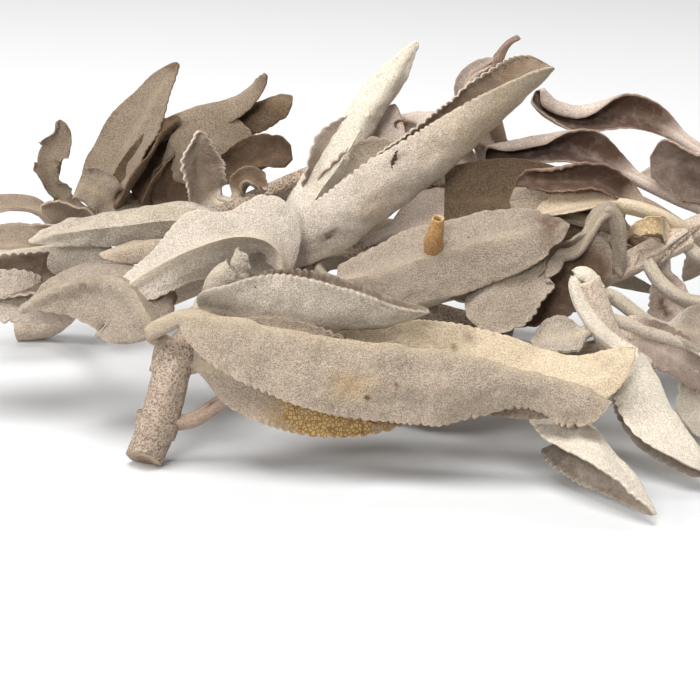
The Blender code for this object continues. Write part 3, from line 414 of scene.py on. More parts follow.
def make_leaf(leaf, detail, seed):
    """A felted leaf, rolled and folded along its path, as one closed sheet."""
    rows = max(LEAST_ROWS, round(path_length(leaf.path) / detail.step))
    columns = 2 * max(LEAST_COLUMNS, round(leaf.width / 2 / (detail.step * 2)))
    shares = np.linspace(0, 1, rows + 1)
    across = np.linspace(-1, 1, columns + 1)
    across = np.sign(across) * (1 - (1 - np.abs(across)) ** 1.5)  # closer together near the margin
    upper, lower, marks = blade_points(leaf, detail, shares, across, seed)
    points, faces, used = closed_sheet(upper, lower, kept_cells(detail, leaf, shares, across, seed))
    marks = np.vstack([side.reshape(-1, 5) for side in marks])[used]
    return mesh_piece(leaf.name, points, faces.tolist(), marks, detail.finish)


def stem_body(stem, seed):
    """Rings of points along a stem, and the direction that it runs in at each of them."""
    length = path_length(stem.path)
    shares = np.linspace(0, 1, max(LEAST_RINGS, round(length / STEM_STEP)) + 1)
    spine = even_points(stem.path, shares)
    ahead = unit(np.gradient(spine, axis=0))
    helper = np.array([0.0, 0.0, 1.0]) if abs(ahead[0][2]) < 0.9 else np.array([1.0, 0.0, 0.0])
    across = unit(np.cross(ahead, helper))
    other = np.cross(ahead, across)
    radius = np.interp(shares, np.linspace(0, 1, len(stem.radii)), stem.radii)
    angle = np.linspace(0, 2 * math.pi, STEM_SIDES, endpoint=False)
    outward = np.cos(angle)[None, :, None] * across[:, None] + np.sin(angle)[None, :, None] * other[:, None]
    run = (shares * length)[:, None] + 0 * angle[None, :]
    turn = angle[None, :] / (2 * math.pi) * BARK_GRAINS + 0 * run
    grain = dents(run / BARK_GRAIN_LENGTH, turn, seed + 1)
    bark = 1 + STEM_RIB_DEPTH * np.cos(STEM_RIBS * angle)[None, :]
    bark = bark + stem.rough * dents(run / BARK_DENT_LENGTH, turn / 4, seed)
    bark = bark + BARK_GRAIN_DEPTH * stem.rough * grain * radius.max() / radius[:, None]
    body = spine[:, None] + outward * (radius[:, None] * bark)[..., None]
    if stem.cut is not None:
        slope = np.array(stem.cut, float)
        shift = -((body - spine[:, None]) @ slope) / (ahead[0] @ slope)
        fade = np.clip(1 - run / (CUT_REACH * radius[0]), 0, 1)
        body = body + ahead[0] * (shift * fade)[..., None]
    return body, ahead


def make_stem(stem, seed):
    """A round woody stem with shallow ribs and dents, whose ends are plain, cut or hollow."""
    body, ahead = stem_body(stem, seed)
    rings = list(body)
    dark = [0.0] * len(rings)
    wood = [0.0] * len(rings)
    for profile, at, sign in ((stem.start, 0, -1), (stem.end, -1, 1)):
        rim, centre = body[at], body[at].mean(axis=0)
        caps = []
        for share, height, _ in profile:
            caps.append(centre + (rim - centre) * max(share, LEAST_CAP) + sign * ahead[at] * height)
        shades = [shade for _, _, shade in profile]
        woods = [1.0 if profile is not PLAIN_END else 0.0] * len(caps)
        if sign < 0:
            rings, dark, wood = caps[::-1] + rings, shades[::-1] + dark, woods + wood
        else:
            rings, dark, wood = rings + caps, dark + shades, wood + woods
    points = np.vstack(rings)
    points[:, 2] = np.maximum(points[:, 2], 0)  # a stem rests on the floor
    near = np.arange(STEM_SIDES)
    next_one = (near + 1) % STEM_SIDES
    faces = []
    for k in range(len(rings) - 1):
        low, high = k * STEM_SIDES, (k + 1) * STEM_SIDES
        faces += np.column_stack([low + near, low + next_one, high + next_one, high + near]).tolist()
    faces.append(near[::-1].tolist())
    faces.append((near + (len(rings) - 1) * STEM_SIDES).tolist())
    marks = np.zeros((len(rings), STEM_SIDES, 5))
    marks[..., 0] = np.array(wood)[:, None]
    marks[..., 3] = np.array(dark)[:, None]
    return mesh_piece(stem.name, points, faces, marks.reshape(-1, 5), stem.finish)


# Finishes: pale and deep tone of the felt, the thin rim, the rib and the inner side (dry brown and painted
# shade), as display colours from 0 to 1, then the strength of the grain's relief, the record's material slot,
# and the size of the grain.
Finish = namedtuple("Finish", "pale deep rim rib inner depth slot grain", defaults=(0.21,))
FINISH_TONES = {
    "white_felt": Finish((0.97, 0.93, 0.865), (0.75, 0.685, 0.60), (0.93, 0.88, 0.80), (0.92, 0.87, 0.77),
                         (0.42, 0.34, 0.27), 0.8, "felted_leaf"),
    "pale_felt": Finish((0.90, 0.85, 0.79), (0.61, 0.545, 0.475), (0.90, 0.85, 0.77), (0.89, 0.82, 0.69),
                        (0.46, 0.36, 0.28), 0.8, "felted_leaf"),
    "grey_felt": Finish((0.85, 0.80, 0.735), (0.56, 0.50, 0.425), (0.88, 0.83, 0.75), (0.86, 0.79, 0.68),
                        (0.40, 0.31, 0.24), 0.8, "felted_leaf"),
    "warm_felt": Finish((0.77, 0.705, 0.63), (0.49, 0.42, 0.345), (0.82, 0.72, 0.63), (0.82, 0.74, 0.61),
                        (0.40, 0.30, 0.22), 0.8, "felted_leaf"),
    "tan_felt": Finish((0.735, 0.675, 0.605), (0.47, 0.405, 0.34), (0.77, 0.69, 0.60), (0.77, 0.70, 0.60),
                       (0.38, 0.28, 0.21), 0.8, "felted_leaf"),
    "cream_felt": Finish((0.89, 0.825, 0.72), (0.66, 0.575, 0.46), (0.86, 0.78, 0.66), (0.90, 0.83, 0.70),
                         (0.46, 0.37, 0.29), 0.6, "felted_leaf"),
    "dry_felt": Finish((0.64, 0.575, 0.495), (0.39, 0.325, 0.255), (0.44, 0.34, 0.25), (0.66, 0.59, 0.50),
                       (0.31, 0.22, 0.16), 0.7, "dry_leaf"),
    "brown_felt": Finish((0.56, 0.47, 0.375), (0.31, 0.235, 0.17), (0.42, 0.31, 0.21), (0.59, 0.49, 0.37),
                         (0.24, 0.16, 0.10), 0.7, "dry_leaf"),
    "mauve_felt": Finish((0.74, 0.645, 0.575), (0.46, 0.365, 0.30), (0.50, 0.37, 0.29), (0.74, 0.65, 0.57),
                         (0.315, 0.225, 0.17), 0.6, "mauve_leaf"),
    "rosy_felt": Finish((0.87, 0.805, 0.75), (0.60, 0.52, 0.46), (0.58, 0.46, 0.38), (0.86, 0.79, 0.73),
                        (0.315, 0.22, 0.165), 0.5, "mauve_leaf"),
    "bark": Finish((0.77, 0.695, 0.62), (0.43, 0.34, 0.27), (0.86, 0.76, 0.64), (0.77, 0.69, 0.61),
                   (0.42, 0.32, 0.26), 0.9, "woody_stem", 0.36),
    "pale_bark": Finish((0.86, 0.795, 0.72), (0.64, 0.55, 0.47), (0.88, 0.79, 0.69), (0.84, 0.78, 0.70),
                        (0.42, 0.32, 0.26), 0.6, "woody_stem", 0.30),
    "yellow_wood": Finish((0.78, 0.62, 0.42), (0.54, 0.37, 0.21), (0.88, 0.76, 0.56), (0.77, 0.62, 0.42),
                          (0.42, 0.32, 0.26), 0.5, "woody_stem", 0.24),
}
OCHRE = (0.82, 0.69, 0.46)
OCHRE_NET = (0.54, 0.37, 0.17)
# dark brown of dry patches and cracks, also painted shade in hollow stem ends and on a leaf's crease
BROWN_AND_SHADE_TONE = (0.36, 0.25, 0.17)
DARK_SPECK = (0.10, 0.07, 0.05)

PATCHINESS = 0.5  # how much the soft clouds change the felt from pale to deep
CLOUD_SCALE, SMUDGE_SCALE, SPECK_SCALE = 0.16, 0.75, 0.42  # of marks on the felt, to the millimetre
HAIR_SCALE = 1.9  # of the hairs, to the grain
BARE_SHARE = 0.86  # share of the speck cells that have no speck
SPECK_STRENGTH = 0.75
PIT_DARKENING, HAIR_CONTRAST, SMUDGE_CONTRAST = 0.95, 1.7, 0.3
PIT_DEPTH = 0.9  # of a pit in the relief, to the height of a hair
INNER_STRENGTH = 0.98  # how far the inner tone, dry brown and painted shade, hides the felt's own
FRAY_SCALE, NET_SCALE = 0.5, 1.7  # of stains, browns and the net in a stain, to the millimetre
BUMP_HEIGHT = 0.0003  # in metres
FELT_SHADING = {"Roughness": 0.88, "Specular IOR Level": 0.25, "Sheen Weight": 0.05, "Sheen Roughness": 0.5}


def paint(tone):
    """A display colour as the linear colour that a shader takes."""
    return (*[c / 12.92 if c <= 0.04045 else ((c + 0.055) / 1.055) ** 2.4 for c in tone], 1)


def set_values(node, values):
    for socket, value in values.items():
        node.inputs[socket].default_value = value


def add_node(tree, kind, values=None, **settings):
    node = tree.nodes.new("ShaderNode" + kind)
    for name, value in settings.items():
        setattr(node, name, value)
    set_values(node, values or {})
    return node


def feed(tree, socket, value):
    """Links a socket to another one, or sets it to a colour or a number."""
    if isinstance(value, bpy.types.NodeSocket):
        tree.links.new(value, socket)
    else:
        socket.default_value = value


def mixed(tree, factor, first, second):
    """Colour output of a Mix node."""
    node = add_node(tree, "Mix", data_type="RGBA")
    for socket, value in ((0, factor), (6, first), (7, second)):
        feed(tree, node.inputs[socket], value)
    return node.outputs[2]


def maths(tree, operation, *values, clamp=False):
    """Output of a Math node."""
    node = add_node(tree, "Math", operation=operation, use_clamp=clamp)
    for socket, value in zip(node.inputs, values):
        feed(tree, socket, value)
    return node.outputs[0]


def times(tree, first, second, clamp=False):
    return maths(tree, "MULTIPLY", first, second, clamp=clamp)


def shifted(tree, level, value, middle, gain, clamp=False):
    """A level moved by how far a value lies from its middle."""
    return maths(tree, "MULTIPLY_ADD", maths(tree, "SUBTRACT", value, middle), gain, level, clamp=clamp)


def between(tree, value, low, high, new_low=0.0, new_high=1.0):
    """A value mapped smoothly from one range to another."""
    ends = {1: low, 2: high, 3: new_low, 4: new_high}
    node = add_node(tree, "MapRange", ends, interpolation_type="SMOOTHSTEP")
    tree.links.new(value, node.inputs[0])
    return node.outputs[0]


def new_group(name, inputs, outputs):
    """An empty node group with its input and output nodes. Sockets are (name, kind)."""
    group = bpy.data.node_groups.new(name, "ShaderNodeTree")
    for direction, sockets in (("INPUT", inputs), ("OUTPUT", outputs)):
        for socket_name, kind in sockets:
            group.interface.new_socket(socket_name, in_out=direction, socket_type="NodeSocket" + kind)
    return group, group.nodes.new("NodeGroupInput"), group.nodes.new("NodeGroupOutput")


def place_in_mm(group, grain=None):
    """Object coordinates in millimetres, or in grains when a grain size is given."""
    scaled = add_node(group, "VectorMath", {1: (1 / MM, 1 / MM, 1 / MM)}, operation="MULTIPLY")
    group.links.new(add_node(group, "TexCoord").outputs["Object"], scaled.inputs[0])
    if grain is None:
        return scaled.outputs[0]
    divided = add_node(group, "VectorMath", operation="DIVIDE")
    group.links.new(scaled.outputs[0], divided.inputs[0])
    group.links.new(grain, divided.inputs[1])
    return divided.outputs[0]


def noise(group, place, scale, detail, rough):
    node = add_node(group, "TexNoise", {"Scale": scale, "Detail": detail, "Roughness": rough})
    group.links.new(place, node.inputs["Vector"])
    return node.outputs["Fac"]


def cells(group, place, scale, feature="F1"):
    """A Voronoi node, which puts out the distance within each cell and a colour of the cell's own."""
    node = add_node(group, "TexVoronoi", {"Scale": scale, "Randomness": 1.0}, feature=feature)
    group.links.new(place, node.inputs["Vector"])
    return node


def first_channel(group, colour):
    split = add_node(group, "SeparateColor")
    group.links.new(colour, split.inputs[0])
    return split.outputs[0]


def felt_group():
    """Matted felt: fine dark pits between hairs, soft cloudy patches and a few dark specks."""
    group, given, result = new_group(
        "felt",
        [("Pale", "Color"), ("Deep", "Color"), ("Grain Size", "Float"), ("Patchiness", "Float")],
        [("Color", "Color"), ("Height", "Float")],
    )
    place = place_in_mm(group)
    grains = place_in_mm(group, given.outputs["Grain Size"])
    pores = cells(group, grains, 1.0)
    pore_depth = maths(group, "MULTIPLY_ADD", first_channel(group, pores.outputs["Color"]), 0.5, 0.35)
    pit = times(group, between(group, pores.outputs["Distance"], 0.15, 0.8, 1.0, 0.0), pore_depth)
    hairs = noise(group, grains, HAIR_SCALE, detail=2.0, rough=0.7)
    clouds = noise(group, place, CLOUD_SCALE, detail=3.0, rough=0.55)
    smudges = noise(group, place, SMUDGE_SCALE, detail=2.0, rough=0.6)
    level = shifted(group, 0.75, clouds, 0.5, given.outputs["Patchiness"])
    level = shifted(group, level, smudges, 0.5, SMUDGE_CONTRAST)
    level = maths(group, "MULTIPLY_ADD", pit, -PIT_DARKENING, level)
    level = shifted(group, level, hairs, 0.45, HAIR_CONTRAST, clamp=True)
    felt = mixed(group, level, given.outputs["Deep"], given.outputs["Pale"])
    specks = cells(group, place, SPECK_SCALE)
    speck = between(group, specks.outputs["Distance"], 0.05, 0.10, 1.0, 0.0)
    chosen = maths(group, "GREATER_THAN", first_channel(group, specks.outputs["Color"]), BARE_SHARE)
    speck = times(group, times(group, speck, chosen), SPECK_STRENGTH)
    group.links.new(mixed(group, speck, felt, paint(DARK_SPECK)), result.inputs["Color"])
    group.links.new(maths(group, "MULTIPLY_ADD", pit, -PIT_DEPTH, hairs), result.inputs["Height"])
    return group


def marks_group():
    """The masks of each mesh: rim or cut end, rib, ochre stains and their net, dark parts and the inside,
    both partly painted shade.
    """
    names = ("Rim", "Rib", "Stain", "Net", "Brown", "Inside")
    group, _, result = new_group("leaf_marks", [], [(name, "Float") for name in names])
    marks = add_node(group, "Attribute", attribute_name="marks")
    parts = add_node(group, "SeparateColor")
    group.links.new(marks.outputs["Color"], parts.inputs[0])
    rim, rib, stained = parts.outputs
    # dark brown marks, and painted shade in hollow stem ends and on a crease
    brown_and_shade_marks = marks.outputs["Alpha"]
    # the inner mark: dry brown and painted shade
    dry_brown_and_shade = add_node(group, "Attribute", attribute_name="inside").outputs["Fac"]
    place = place_in_mm(group)
    fray = noise(group, place, FRAY_SCALE, detail=3.0, rough=0.6)
    net = cells(group, place, NET_SCALE, feature="DISTANCE_TO_EDGE")
    threads = between(group, net.outputs["Distance"], 0.05, 0.2, 1.0, 0.0)
    stain = times(group, stained, between(group, fray, 0.3, 0.55, 0.3, 1.4), clamp=True)
    masks = {
        "Rim": rim,
        "Rib": rib,
        "Stain": stain,
        "Net": times(group, stain, threads, clamp=True),
        "Brown": times(group, brown_and_shade_marks, between(group, fray, 0.3, 0.62, 0.35, 1.3), clamp=True),
        "Inside": times(group, dry_brown_and_shade, between(group, fray, 0.2, 0.8, 0.8, 1.15), clamp=True),
    }
    for name, mask in masks.items():
        group.links.new(mask, result.inputs[name])
    return group


def leaf_finish(name, tones, felt, marks):
    """The material of one finish: felt in two tones, with rim, rib, stains, dark brown parts and the inner
    tone, both partly painted shade.
    """
    material = bpy.data.materials.new(name)
    material.use_nodes = True
    tree = material.node_tree
    shader = tree.nodes["Principled BSDF"]
    surface = add_node(tree, "Group", node_tree=felt)
    set_values(surface, {"Pale": paint(tones.pale), "Deep": paint(tones.deep)})
    set_values(surface, {"Grain Size": tones.grain, "Patchiness": PATCHINESS})
    masks = add_node(tree, "Group", node_tree=marks).outputs
    # the inner tone, dry brown and painted shade, over the felt of the upper side
    dry_brown_and_shade = mixed(tree, INNER_STRENGTH, surface.outputs["Color"], paint(tones.inner))
    colour = mixed(tree, masks["Inside"], surface.outputs["Color"], dry_brown_and_shade)
    outside = maths(tree, "MULTIPLY_ADD", masks["Inside"], -0.8, 1.0)
    layers = [
        (times(tree, masks["Rib"], outside), 0.5, tones.rib),
        (masks["Rim"], 0.45, tones.rim),
        (masks["Stain"], 0.85, OCHRE),
        (masks["Net"], 0.8, OCHRE_NET),
        (masks["Brown"], 0.85, BROWN_AND_SHADE_TONE),
    ]
    for mask, strength, tone in layers:
        colour = mixed(tree, times(tree, mask, strength), colour, paint(tone))
    tree.links.new(colour, shader.inputs["Base Color"])
    bump = add_node(tree, "Bump", {"Strength": tones.depth, "Distance": BUMP_HEIGHT})
    tree.links.new(surface.outputs["Height"], bump.inputs["Height"])
    tree.links.new(bump.outputs[0], shader.inputs["Normal"])
    set_values(shader, FELT_SHADING)
    return material


def make_finishes():
    felt, marks = felt_group(), marks_group()
    return {name: leaf_finish(name, tones, felt, marks) for name, tones in FINISH_TONES.items()}


# Leaves of each sprig, the same as in the part's own source.
FRONT_LEAVES = [
    Leaf("front_leaf",
         [(-27, -20, 18), (-30.5, -23.5, 21.5), (-27.5, -25, 24), (-23, -27, 25.5), (-11, -30, 24.5),
          (2, -32, 23), (14, -33, 22), (26, -34, 19.5), (33.5, -35, 17.5), (39, -36, 15)],
         24, [(0, 0.2, -1)], [(15, 15), (10, 15), (20, 20), (90, 90)], [(65, 62), (70, 66), (60, 60)], 0.16,
         (0.5, 0.42), (0.5, 2), bites=((0.85, -1, 0.42, 0.09),)),
    Leaf("second_leaf",
         [(-26, -19, 17), (-14, -20, 18), (8, -21, 17.5), (23.5, -22.5, 16), (32, -25, 15.2),
          (38, -27, 16.5), (43.5, -28, 21.3)],
         12.5, [(0, -0.8, 0.6)], [(20, 20), (20, 20), (-70, -70)], stalk=0.12, ends=(0.6, 0.6)),
    Leaf("low_leaf",
         [(-26.5, -19.5, 15), (-21, -26, 18), (-13, -28, 18), (-3, -29, 15.5), (5, -29, 13.5),
          (13, -29, 12.5)],
         17, [(0, -1, 0.1), (0, -0.9, 0.3)], [(10, 10)], stalk=0.12, ends=(0.6, 0.8)),
    Leaf("over_leaf",
         [(-26, -17, 19), (-24.5, -18, 24), (-21, -22, 26), (-15.5, -24.5, 25.2), (-7.5, -26, 24.5),
          (-1, -26.5, 24.3), (6, -27, 25), (12, -27, 27)],
         18, [(0, 0.1, 1)], [(20, 20)], [(60, 55)], ends=(0.6, 0.8)),
    Leaf("broad_leaf",
         [(-27.5, -20, 18.3), (-29.5, -19, 19.5), (-31.7, -18.5, 23.2), (-33.8, -17, 26.5),
          (-37.1, -15, 28.2), (-42, -13.5, 27.9), (-47.9, -12, 25.4), (-53.1, -11, 21.9)],
         20, [(0, 0.7, -0.7)], [(25, 20), (25, 15), (25, 30)], [(30, 40)], 0.12, (0.45, 1.2)),
    Leaf("ridged_leaf",
         [(-15, -2, 19.5), (-12.5, -5.5, 25), (-11, -7, 28), (-11.6, -7, 30.8), (-14.2, -7.2, 32.8),
          (-18.5, -8, 33.3), (-24, -11, 32.3), (-29.5, -14, 30.3), (-34, -16, 27.8), (-36.7, -17.5, 26)],
         19, [(0, 1, -0.1), (0, 0.9, -0.35), (0, 0.5, -0.9)], [(20, 15)], [(35, 15), (40, 20), (45, 30)],
         0.24, (0.4, 0.6), (0.3, 3),
         bites=((0.36, 1, 0.65, 0.14), (0.75, 1, 0.45, 0.3), (0.27, -1, 0.55, 0.06),
                (0.49, -1, 0.4, 0.06), (0.78, -1, 0.3, 0.2))),
    Leaf("arched_leaf",
         [(-20, -8, 20), (-20.5, -3, 27), (-21.3, -3, 32), (-23.6, -2, 35.3), (-27.5, -1, 36.2),
          (-32, 0, 35.9), (-38, 0, 34.8), (-44, -1, 33.7), (-49, -2, 32.3), (-52.4, -3, 31.3)],
         12.5, [(0, 0.6, -0.8)], [(100, 60)], [(20, 20)], 0.3, (0.45, 0.95), (0.2, 2)),
    Leaf("small_arch",
         [(-21, -7, 20), (-21.5, -3.5, 30), (-23.5, -4, 33.8), (-26, -4.5, 34.3), (-28.5, -5, 33),
          (-29.5, -6, 30.5)],
         6, [(0, 0.6, -0.8), (1, 0.3, 0)], [(60, 60)], [(10, 10)], 0.5),
    Leaf("strip_leaf",
         [(-22, -6, 20), (-24, -5, 28.8), (-29, -5, 31.6), (-34, -5.5, 31.3), (-40.5, -6, 29.8)],
         7, [(0, 0.5, -0.9)], [(60, 60)], [(10, 10)], 0.3),
    Leaf("under_leaf",
         [(-29.5, -22, 7), (-24.5, -24, 8.5), (-18.5, -24, 12.2), (-10, -23, 13), (0, -22, 11)],
         9, [(0, -0.5, 1)], fold=[(10, 10)], stalk=0.5),
    Leaf("curl_scrap", [(-24, -14, 19.5), (-23, -16, 25), (-22, -17, 29), (-19, -17, 31.5)],
         7, [(1, 0.6, 0)], [(90, 90)], [(10, 10)], 0.4, (0.7, 0.7), (0.2, 2), 0.9),
    Leaf("inner_curl", [(-22, -12, 19.5), (-19.5, -14, 25), (-18.5, -14, 30), (-17.5, -14, 33)],
         6, [(1, 0.6, 0)], [(90, 90)], [(10, 10)], 0.4, (0.7, 0.7), (0.2, 2), 0.9),
]
MIDDLE_LEAVES = [
    Leaf("rolled_leaf",
         [(-17, 8, 25), (-13, 2, 25.5), (-8.5, 0.5, 27), (-1, 0, 30.5), (8, 1, 37), (16.5, 3, 43),
          (24, 5.5, 49.5), (29.5, 7.5, 54.5), (33.3, 9, 58)],
         20, [(-0.5, 0.4, 0.75), (-0.5, 0.3, 0.75), (-0.6, -0.1, 0.7), (-0.6, -0.45, 0.6)],
         [(110, 120), (110, 110), (100, 100), (70, 80)], [(30, 30)], 0.02, (0.25, 0.3), (0.1, 2)),
    Leaf("tall_leaf",
         [(-12, 7, 26), (-10, 6, 29), (-8.4, 6, 32.5), (-5, 7, 37.7), (-0.8, 8, 43.5), (3, 10, 49.8),
          (7.5, 13, 56), (11.2, 16, 61)],
         12.5, [(0, 1, 0.2)], [(100, 100)], [(15, 15)], 0.05, (0.35, 0.8), (0.2, 2)),
    Leaf("tall_flap", [(-6, 10, 26), (-6.5, 10, 33), (-4.7, 9.5, 39), (-2.6, 10, 44.5), (0.5, 12, 49.5)],
         8, [(0.3, -0.9, 0.2)], stalk=0.3),
    Leaf("pale_leaf", [(0, 12, 26), (2, 12, 33), (4.4, 13, 40.6), (6.1, 15, 46.3), (7.6, 16.5, 50.4)],
         9.5, [(0, -1, 0)], stalk=0.3),
    Leaf("scalloped_leaf",
         [(-6, 9, 26), (-3.4, 8.5, 35.6), (0.3, 8.5, 40.4), (4.7, 9, 43.7), (8.7, 9.5, 44.3)],
         8, [(0.3, -1, 0.3)]),
    Leaf("rolled_flap", [(0, 12, 26), (8, 12, 29.5), (16, 11, 31.5), (24, 9, 33)],
         12, [(0, -0.7, 0.7)], [(20, 20)], stalk=0.3),
    Leaf("standing_leaf",
         [(-18.5, 8, 34.7), (-20.4, 8, 35.1), (-23.1, 8.5, 36), (-24.5, 8, 38.7), (-25.4, 7.3, 42.2),
          (-24.9, 6.5, 47.8)],
         9, [(0.7, -0.7, 0), (0.6, -0.8, 0)], [(70, 20)], [(10, 10)], ends=(0.5, 0.7)),
    Leaf("brown_leaf",
         [(-18.5, 8, 35), (-22, 12, 34.5), (-24.5, 15, 36.2), (-21.4, 16, 37.7), (-17.1, 15.5, 39.6),
          (-12.8, 15, 41.4), (-9.9, 14, 41.6)],
         10, [(-0.5, -0.6, 0.7)], [(60, 60)], [(10, 10)], 0.42, (0.5, 0.4)),
    Leaf("peaked_leaf", [(-18.5, 8, 35), (-19, 9, 36), (-17, 9.5, 38.5), (-14, 9, 37)],
         6, [(0, -0.3, 1)], [(60, 60)], [(10, 10)]),
    Leaf("veined_leaf",
         [(-2, 10, 25), (-5, 2, 25), (-3, -7, 25.5), (-1, -9, 26.2), (5, -10, 27.9), (13, -11.5, 31),
          (20.4, -12.5, 33.4), (26.8, -13.5, 35.2), (34.5, -14, 37)],
         13.5, [(0, 0.85, -0.6)], [(20, 30)], [(8, 8)], 0.25, (0.75, 0.6), (0.3, 3)),
    Leaf("shadow_leaf", [(8, 14, 26), (12, 4, 22), (17, 0, 24.5), (21, -2.5, 25.5), (28.5, 1, 26.5)],
         10, [(0, -0.7, 0.7)], [(20, 20)], stalk=0.4),
    Leaf("mauve_leaf",
         [(26, 24, 30), (23, 21, 38), (21.2, 18, 48.8), (20.5, 17, 52.7), (22.3, 16.5, 55.7),
          (25.6, 16, 58)],
         8, [(-1, -0.3, 0.3)], [(50, 50)], [(10, 10)], 0.4),
    Leaf("twisted_leaf",
         [(26, 24, 30), (26, 21, 40), (24, 18, 49), (24.5, 17, 54.4), (25.3, 16, 58), (26.5, 16, 60.4),
          (28.3, 16, 62)],
         4.5, [(-1, 0, 0)], [(80, 80)], stalk=0.5),
    Leaf("dark_tip_leaf",
         [(20, 24, 34), (20.6, 18, 39.6), (15.4, 16, 42.6), (11.1, 15.5, 45.3), (7.6, 15, 47.6)],
         6, [(0, -1, 0.3)], [(40, 40)], stalk=0.3),
    Leaf("rear_middle_leaf", [(2, 12, 26), (0, 20, 29), (-6, 28, 30), (-15, 33, 27), (-22, 35, 22)],
         14, [(0, 0, 1)], [(40, 40)], [(20, 20)]),
    Leaf("long_rear_leaf", [(33, 25, 31.5), (28, 33, 33), (20, 39, 31), (8, 43, 28), (-2, 44, 26)],
         13, [(0, 0.5, 1)], [(60, 60)], [(20, 20)]),
    Leaf("pink_leaf",
         [(30, 24, 33), (28, 21, 40), (24.1, 20, 44.4), (17.2, 20, 47.3), (12, 20, 47.7), (7.9, 20, 47.3)],
         7, [(0, 0.3, -1)], [(60, 60)], stalk=0.3),
]
BACK_LEAVES = [
    Leaf("torn_leaf",
         [(-40, 38, 28), (-44, 37, 26), (-48.7, 36, 26.7), (-51.7, 36, 29), (-53.9, 36, 32.7),
          (-54.6, 36, 36.4), (-53.4, 36, 39), (-52.3, 36, 43.8)],
         6.5, [(0, -1, 0.2)], [(20, 20)], stalk=0.3, ends=(0.9, 0.5),
         bites=((0.6, 1, 0.5, 0.06), (0.93, -1, 0.6, 0.05))),
    Leaf("tall_fold",
         [(-40, 38, 28), (-44.3, 38, 31.5), (-42.4, 38, 35.5), (-40.1, 38.5, 39.7), (-37, 39, 44.8),
          (-34.5, 40, 48.9), (-31.2, 41, 53.3)],
         12.5, [(-0.6, -0.8, 0.3)], [(10, 10)], [(5, 5)], 0.1, (0.3, 0.75)),
    Leaf("upper_dry_leaf",
         [(-38, 39, 27), (-36.5, 40, 35), (-34.5, 39, 40.5), (-32, 38, 43.4), (-28.5, 37, 45),
          (-24, 36.5, 46.3), (-19.5, 35.5, 48.3), (-14.8, 34, 52.3)],
         8, [(0.3, 0.5, -0.8)], [(60, 50)], [(10, 10)], 0.35, (0.5, 0.6)),
    Leaf("middle_dry_leaf",
         [(-37, 39.5, 26), (-35, 41, 34), (-31.9, 40, 39.5), (-27.3, 39, 41.7), (-22.7, 39, 43.6),
          (-18.1, 38, 45.6), (-13.5, 37, 46.9), (-10.4, 36.5, 46.6)],
         9.5, [(0, 0.6, -0.8)], [(60, 60)], [(10, 10)], 0.3, (0.7, 0.3)),
    Leaf("lower_dry_leaf",
         [(-36, 40, 25), (-33, 36, 33), (-29.7, 33, 37.1), (-26, 33, 39.8), (-23.3, 33, 40.8),
          (-19.7, 33, 39.8), (-17.6, 33, 38.9)],
         11, [(0, -1, 0.3)], [(-30, -30)], stalk=0.3, ends=(0.7, 0.5)),
    Leaf("layered_leaf",
         [(-41, 37, 28), (-42.3, 35, 29), (-40.3, 34.5, 31.8), (-37.4, 34.5, 35.8), (-34.6, 35, 40.2),
          (-31, 35.5, 44.6)],
         8, [(-0.5, -0.6, 0.4)], [(60, 30)], [(30, 10)], 0.1, (0.4, 0.7)),
    Leaf("torn_scrap", [(-40, 37, 28), (-42.5, 34, 28.5), (-45, 32.5, 31), (-49, 32, 33)],
         9, [(0, -0.8, 0.6)], ends=(0.6, 0.4), wave=(0.5, 2), snap=0.9),
    Leaf("dark_leaf", [(-37, 39, 26), (-34, 36, 29), (-31.5, 35, 33.5), (-30, 35, 37)],
         9, [(0, -1, 0.2)], [(50, 50)]),
    Leaf("hem_leaf", [(-37, 39, 26), (-37.6, 36, 30), (-34.5, 36, 35), (-31, 36.5, 40), (-28, 37, 43.5)],
         6.5, [(-0.5, -0.6, 0.5)], [(70, 20)], [(10, 10)], 0.1, (0.4, 0.8)),
    Leaf("rear_leaf", [(-12, 42.5, 12.5), (-8, 43, 15.5), (0, 43, 18), (10, 41.5, 19), (20, 39, 18)],
         14, [(0, 0.4, 1)], [(40, 40)], [(25, 25)]),
    Leaf("rear_low_leaf", [(0, 43, 9), (6, 44, 11), (16, 44.5, 11.5), (28, 44, 10), (40, 42, 7)],
         12, [(0, 1, 0.4)], [(50, 30)], [(20, 20)]),
    Leaf("rear_left_leaf", [(-18, 42, 15), (-22, 43, 13), (-30, 43, 9), (-38, 42, 6), (-46, 40, 4)],
         13, [(0, 0.6, 1)], [(40, 40)], [(20, 20)]),
    Leaf("rear_right_leaf", [(10, 43.5, 6.5), (20, 39, 11), (32, 35, 14), (44, 32, 15), (57, 30, 13)],
         13, [(0, 0.3, 1)], [(60, 60)], [(20, 20)], 0.25),
]
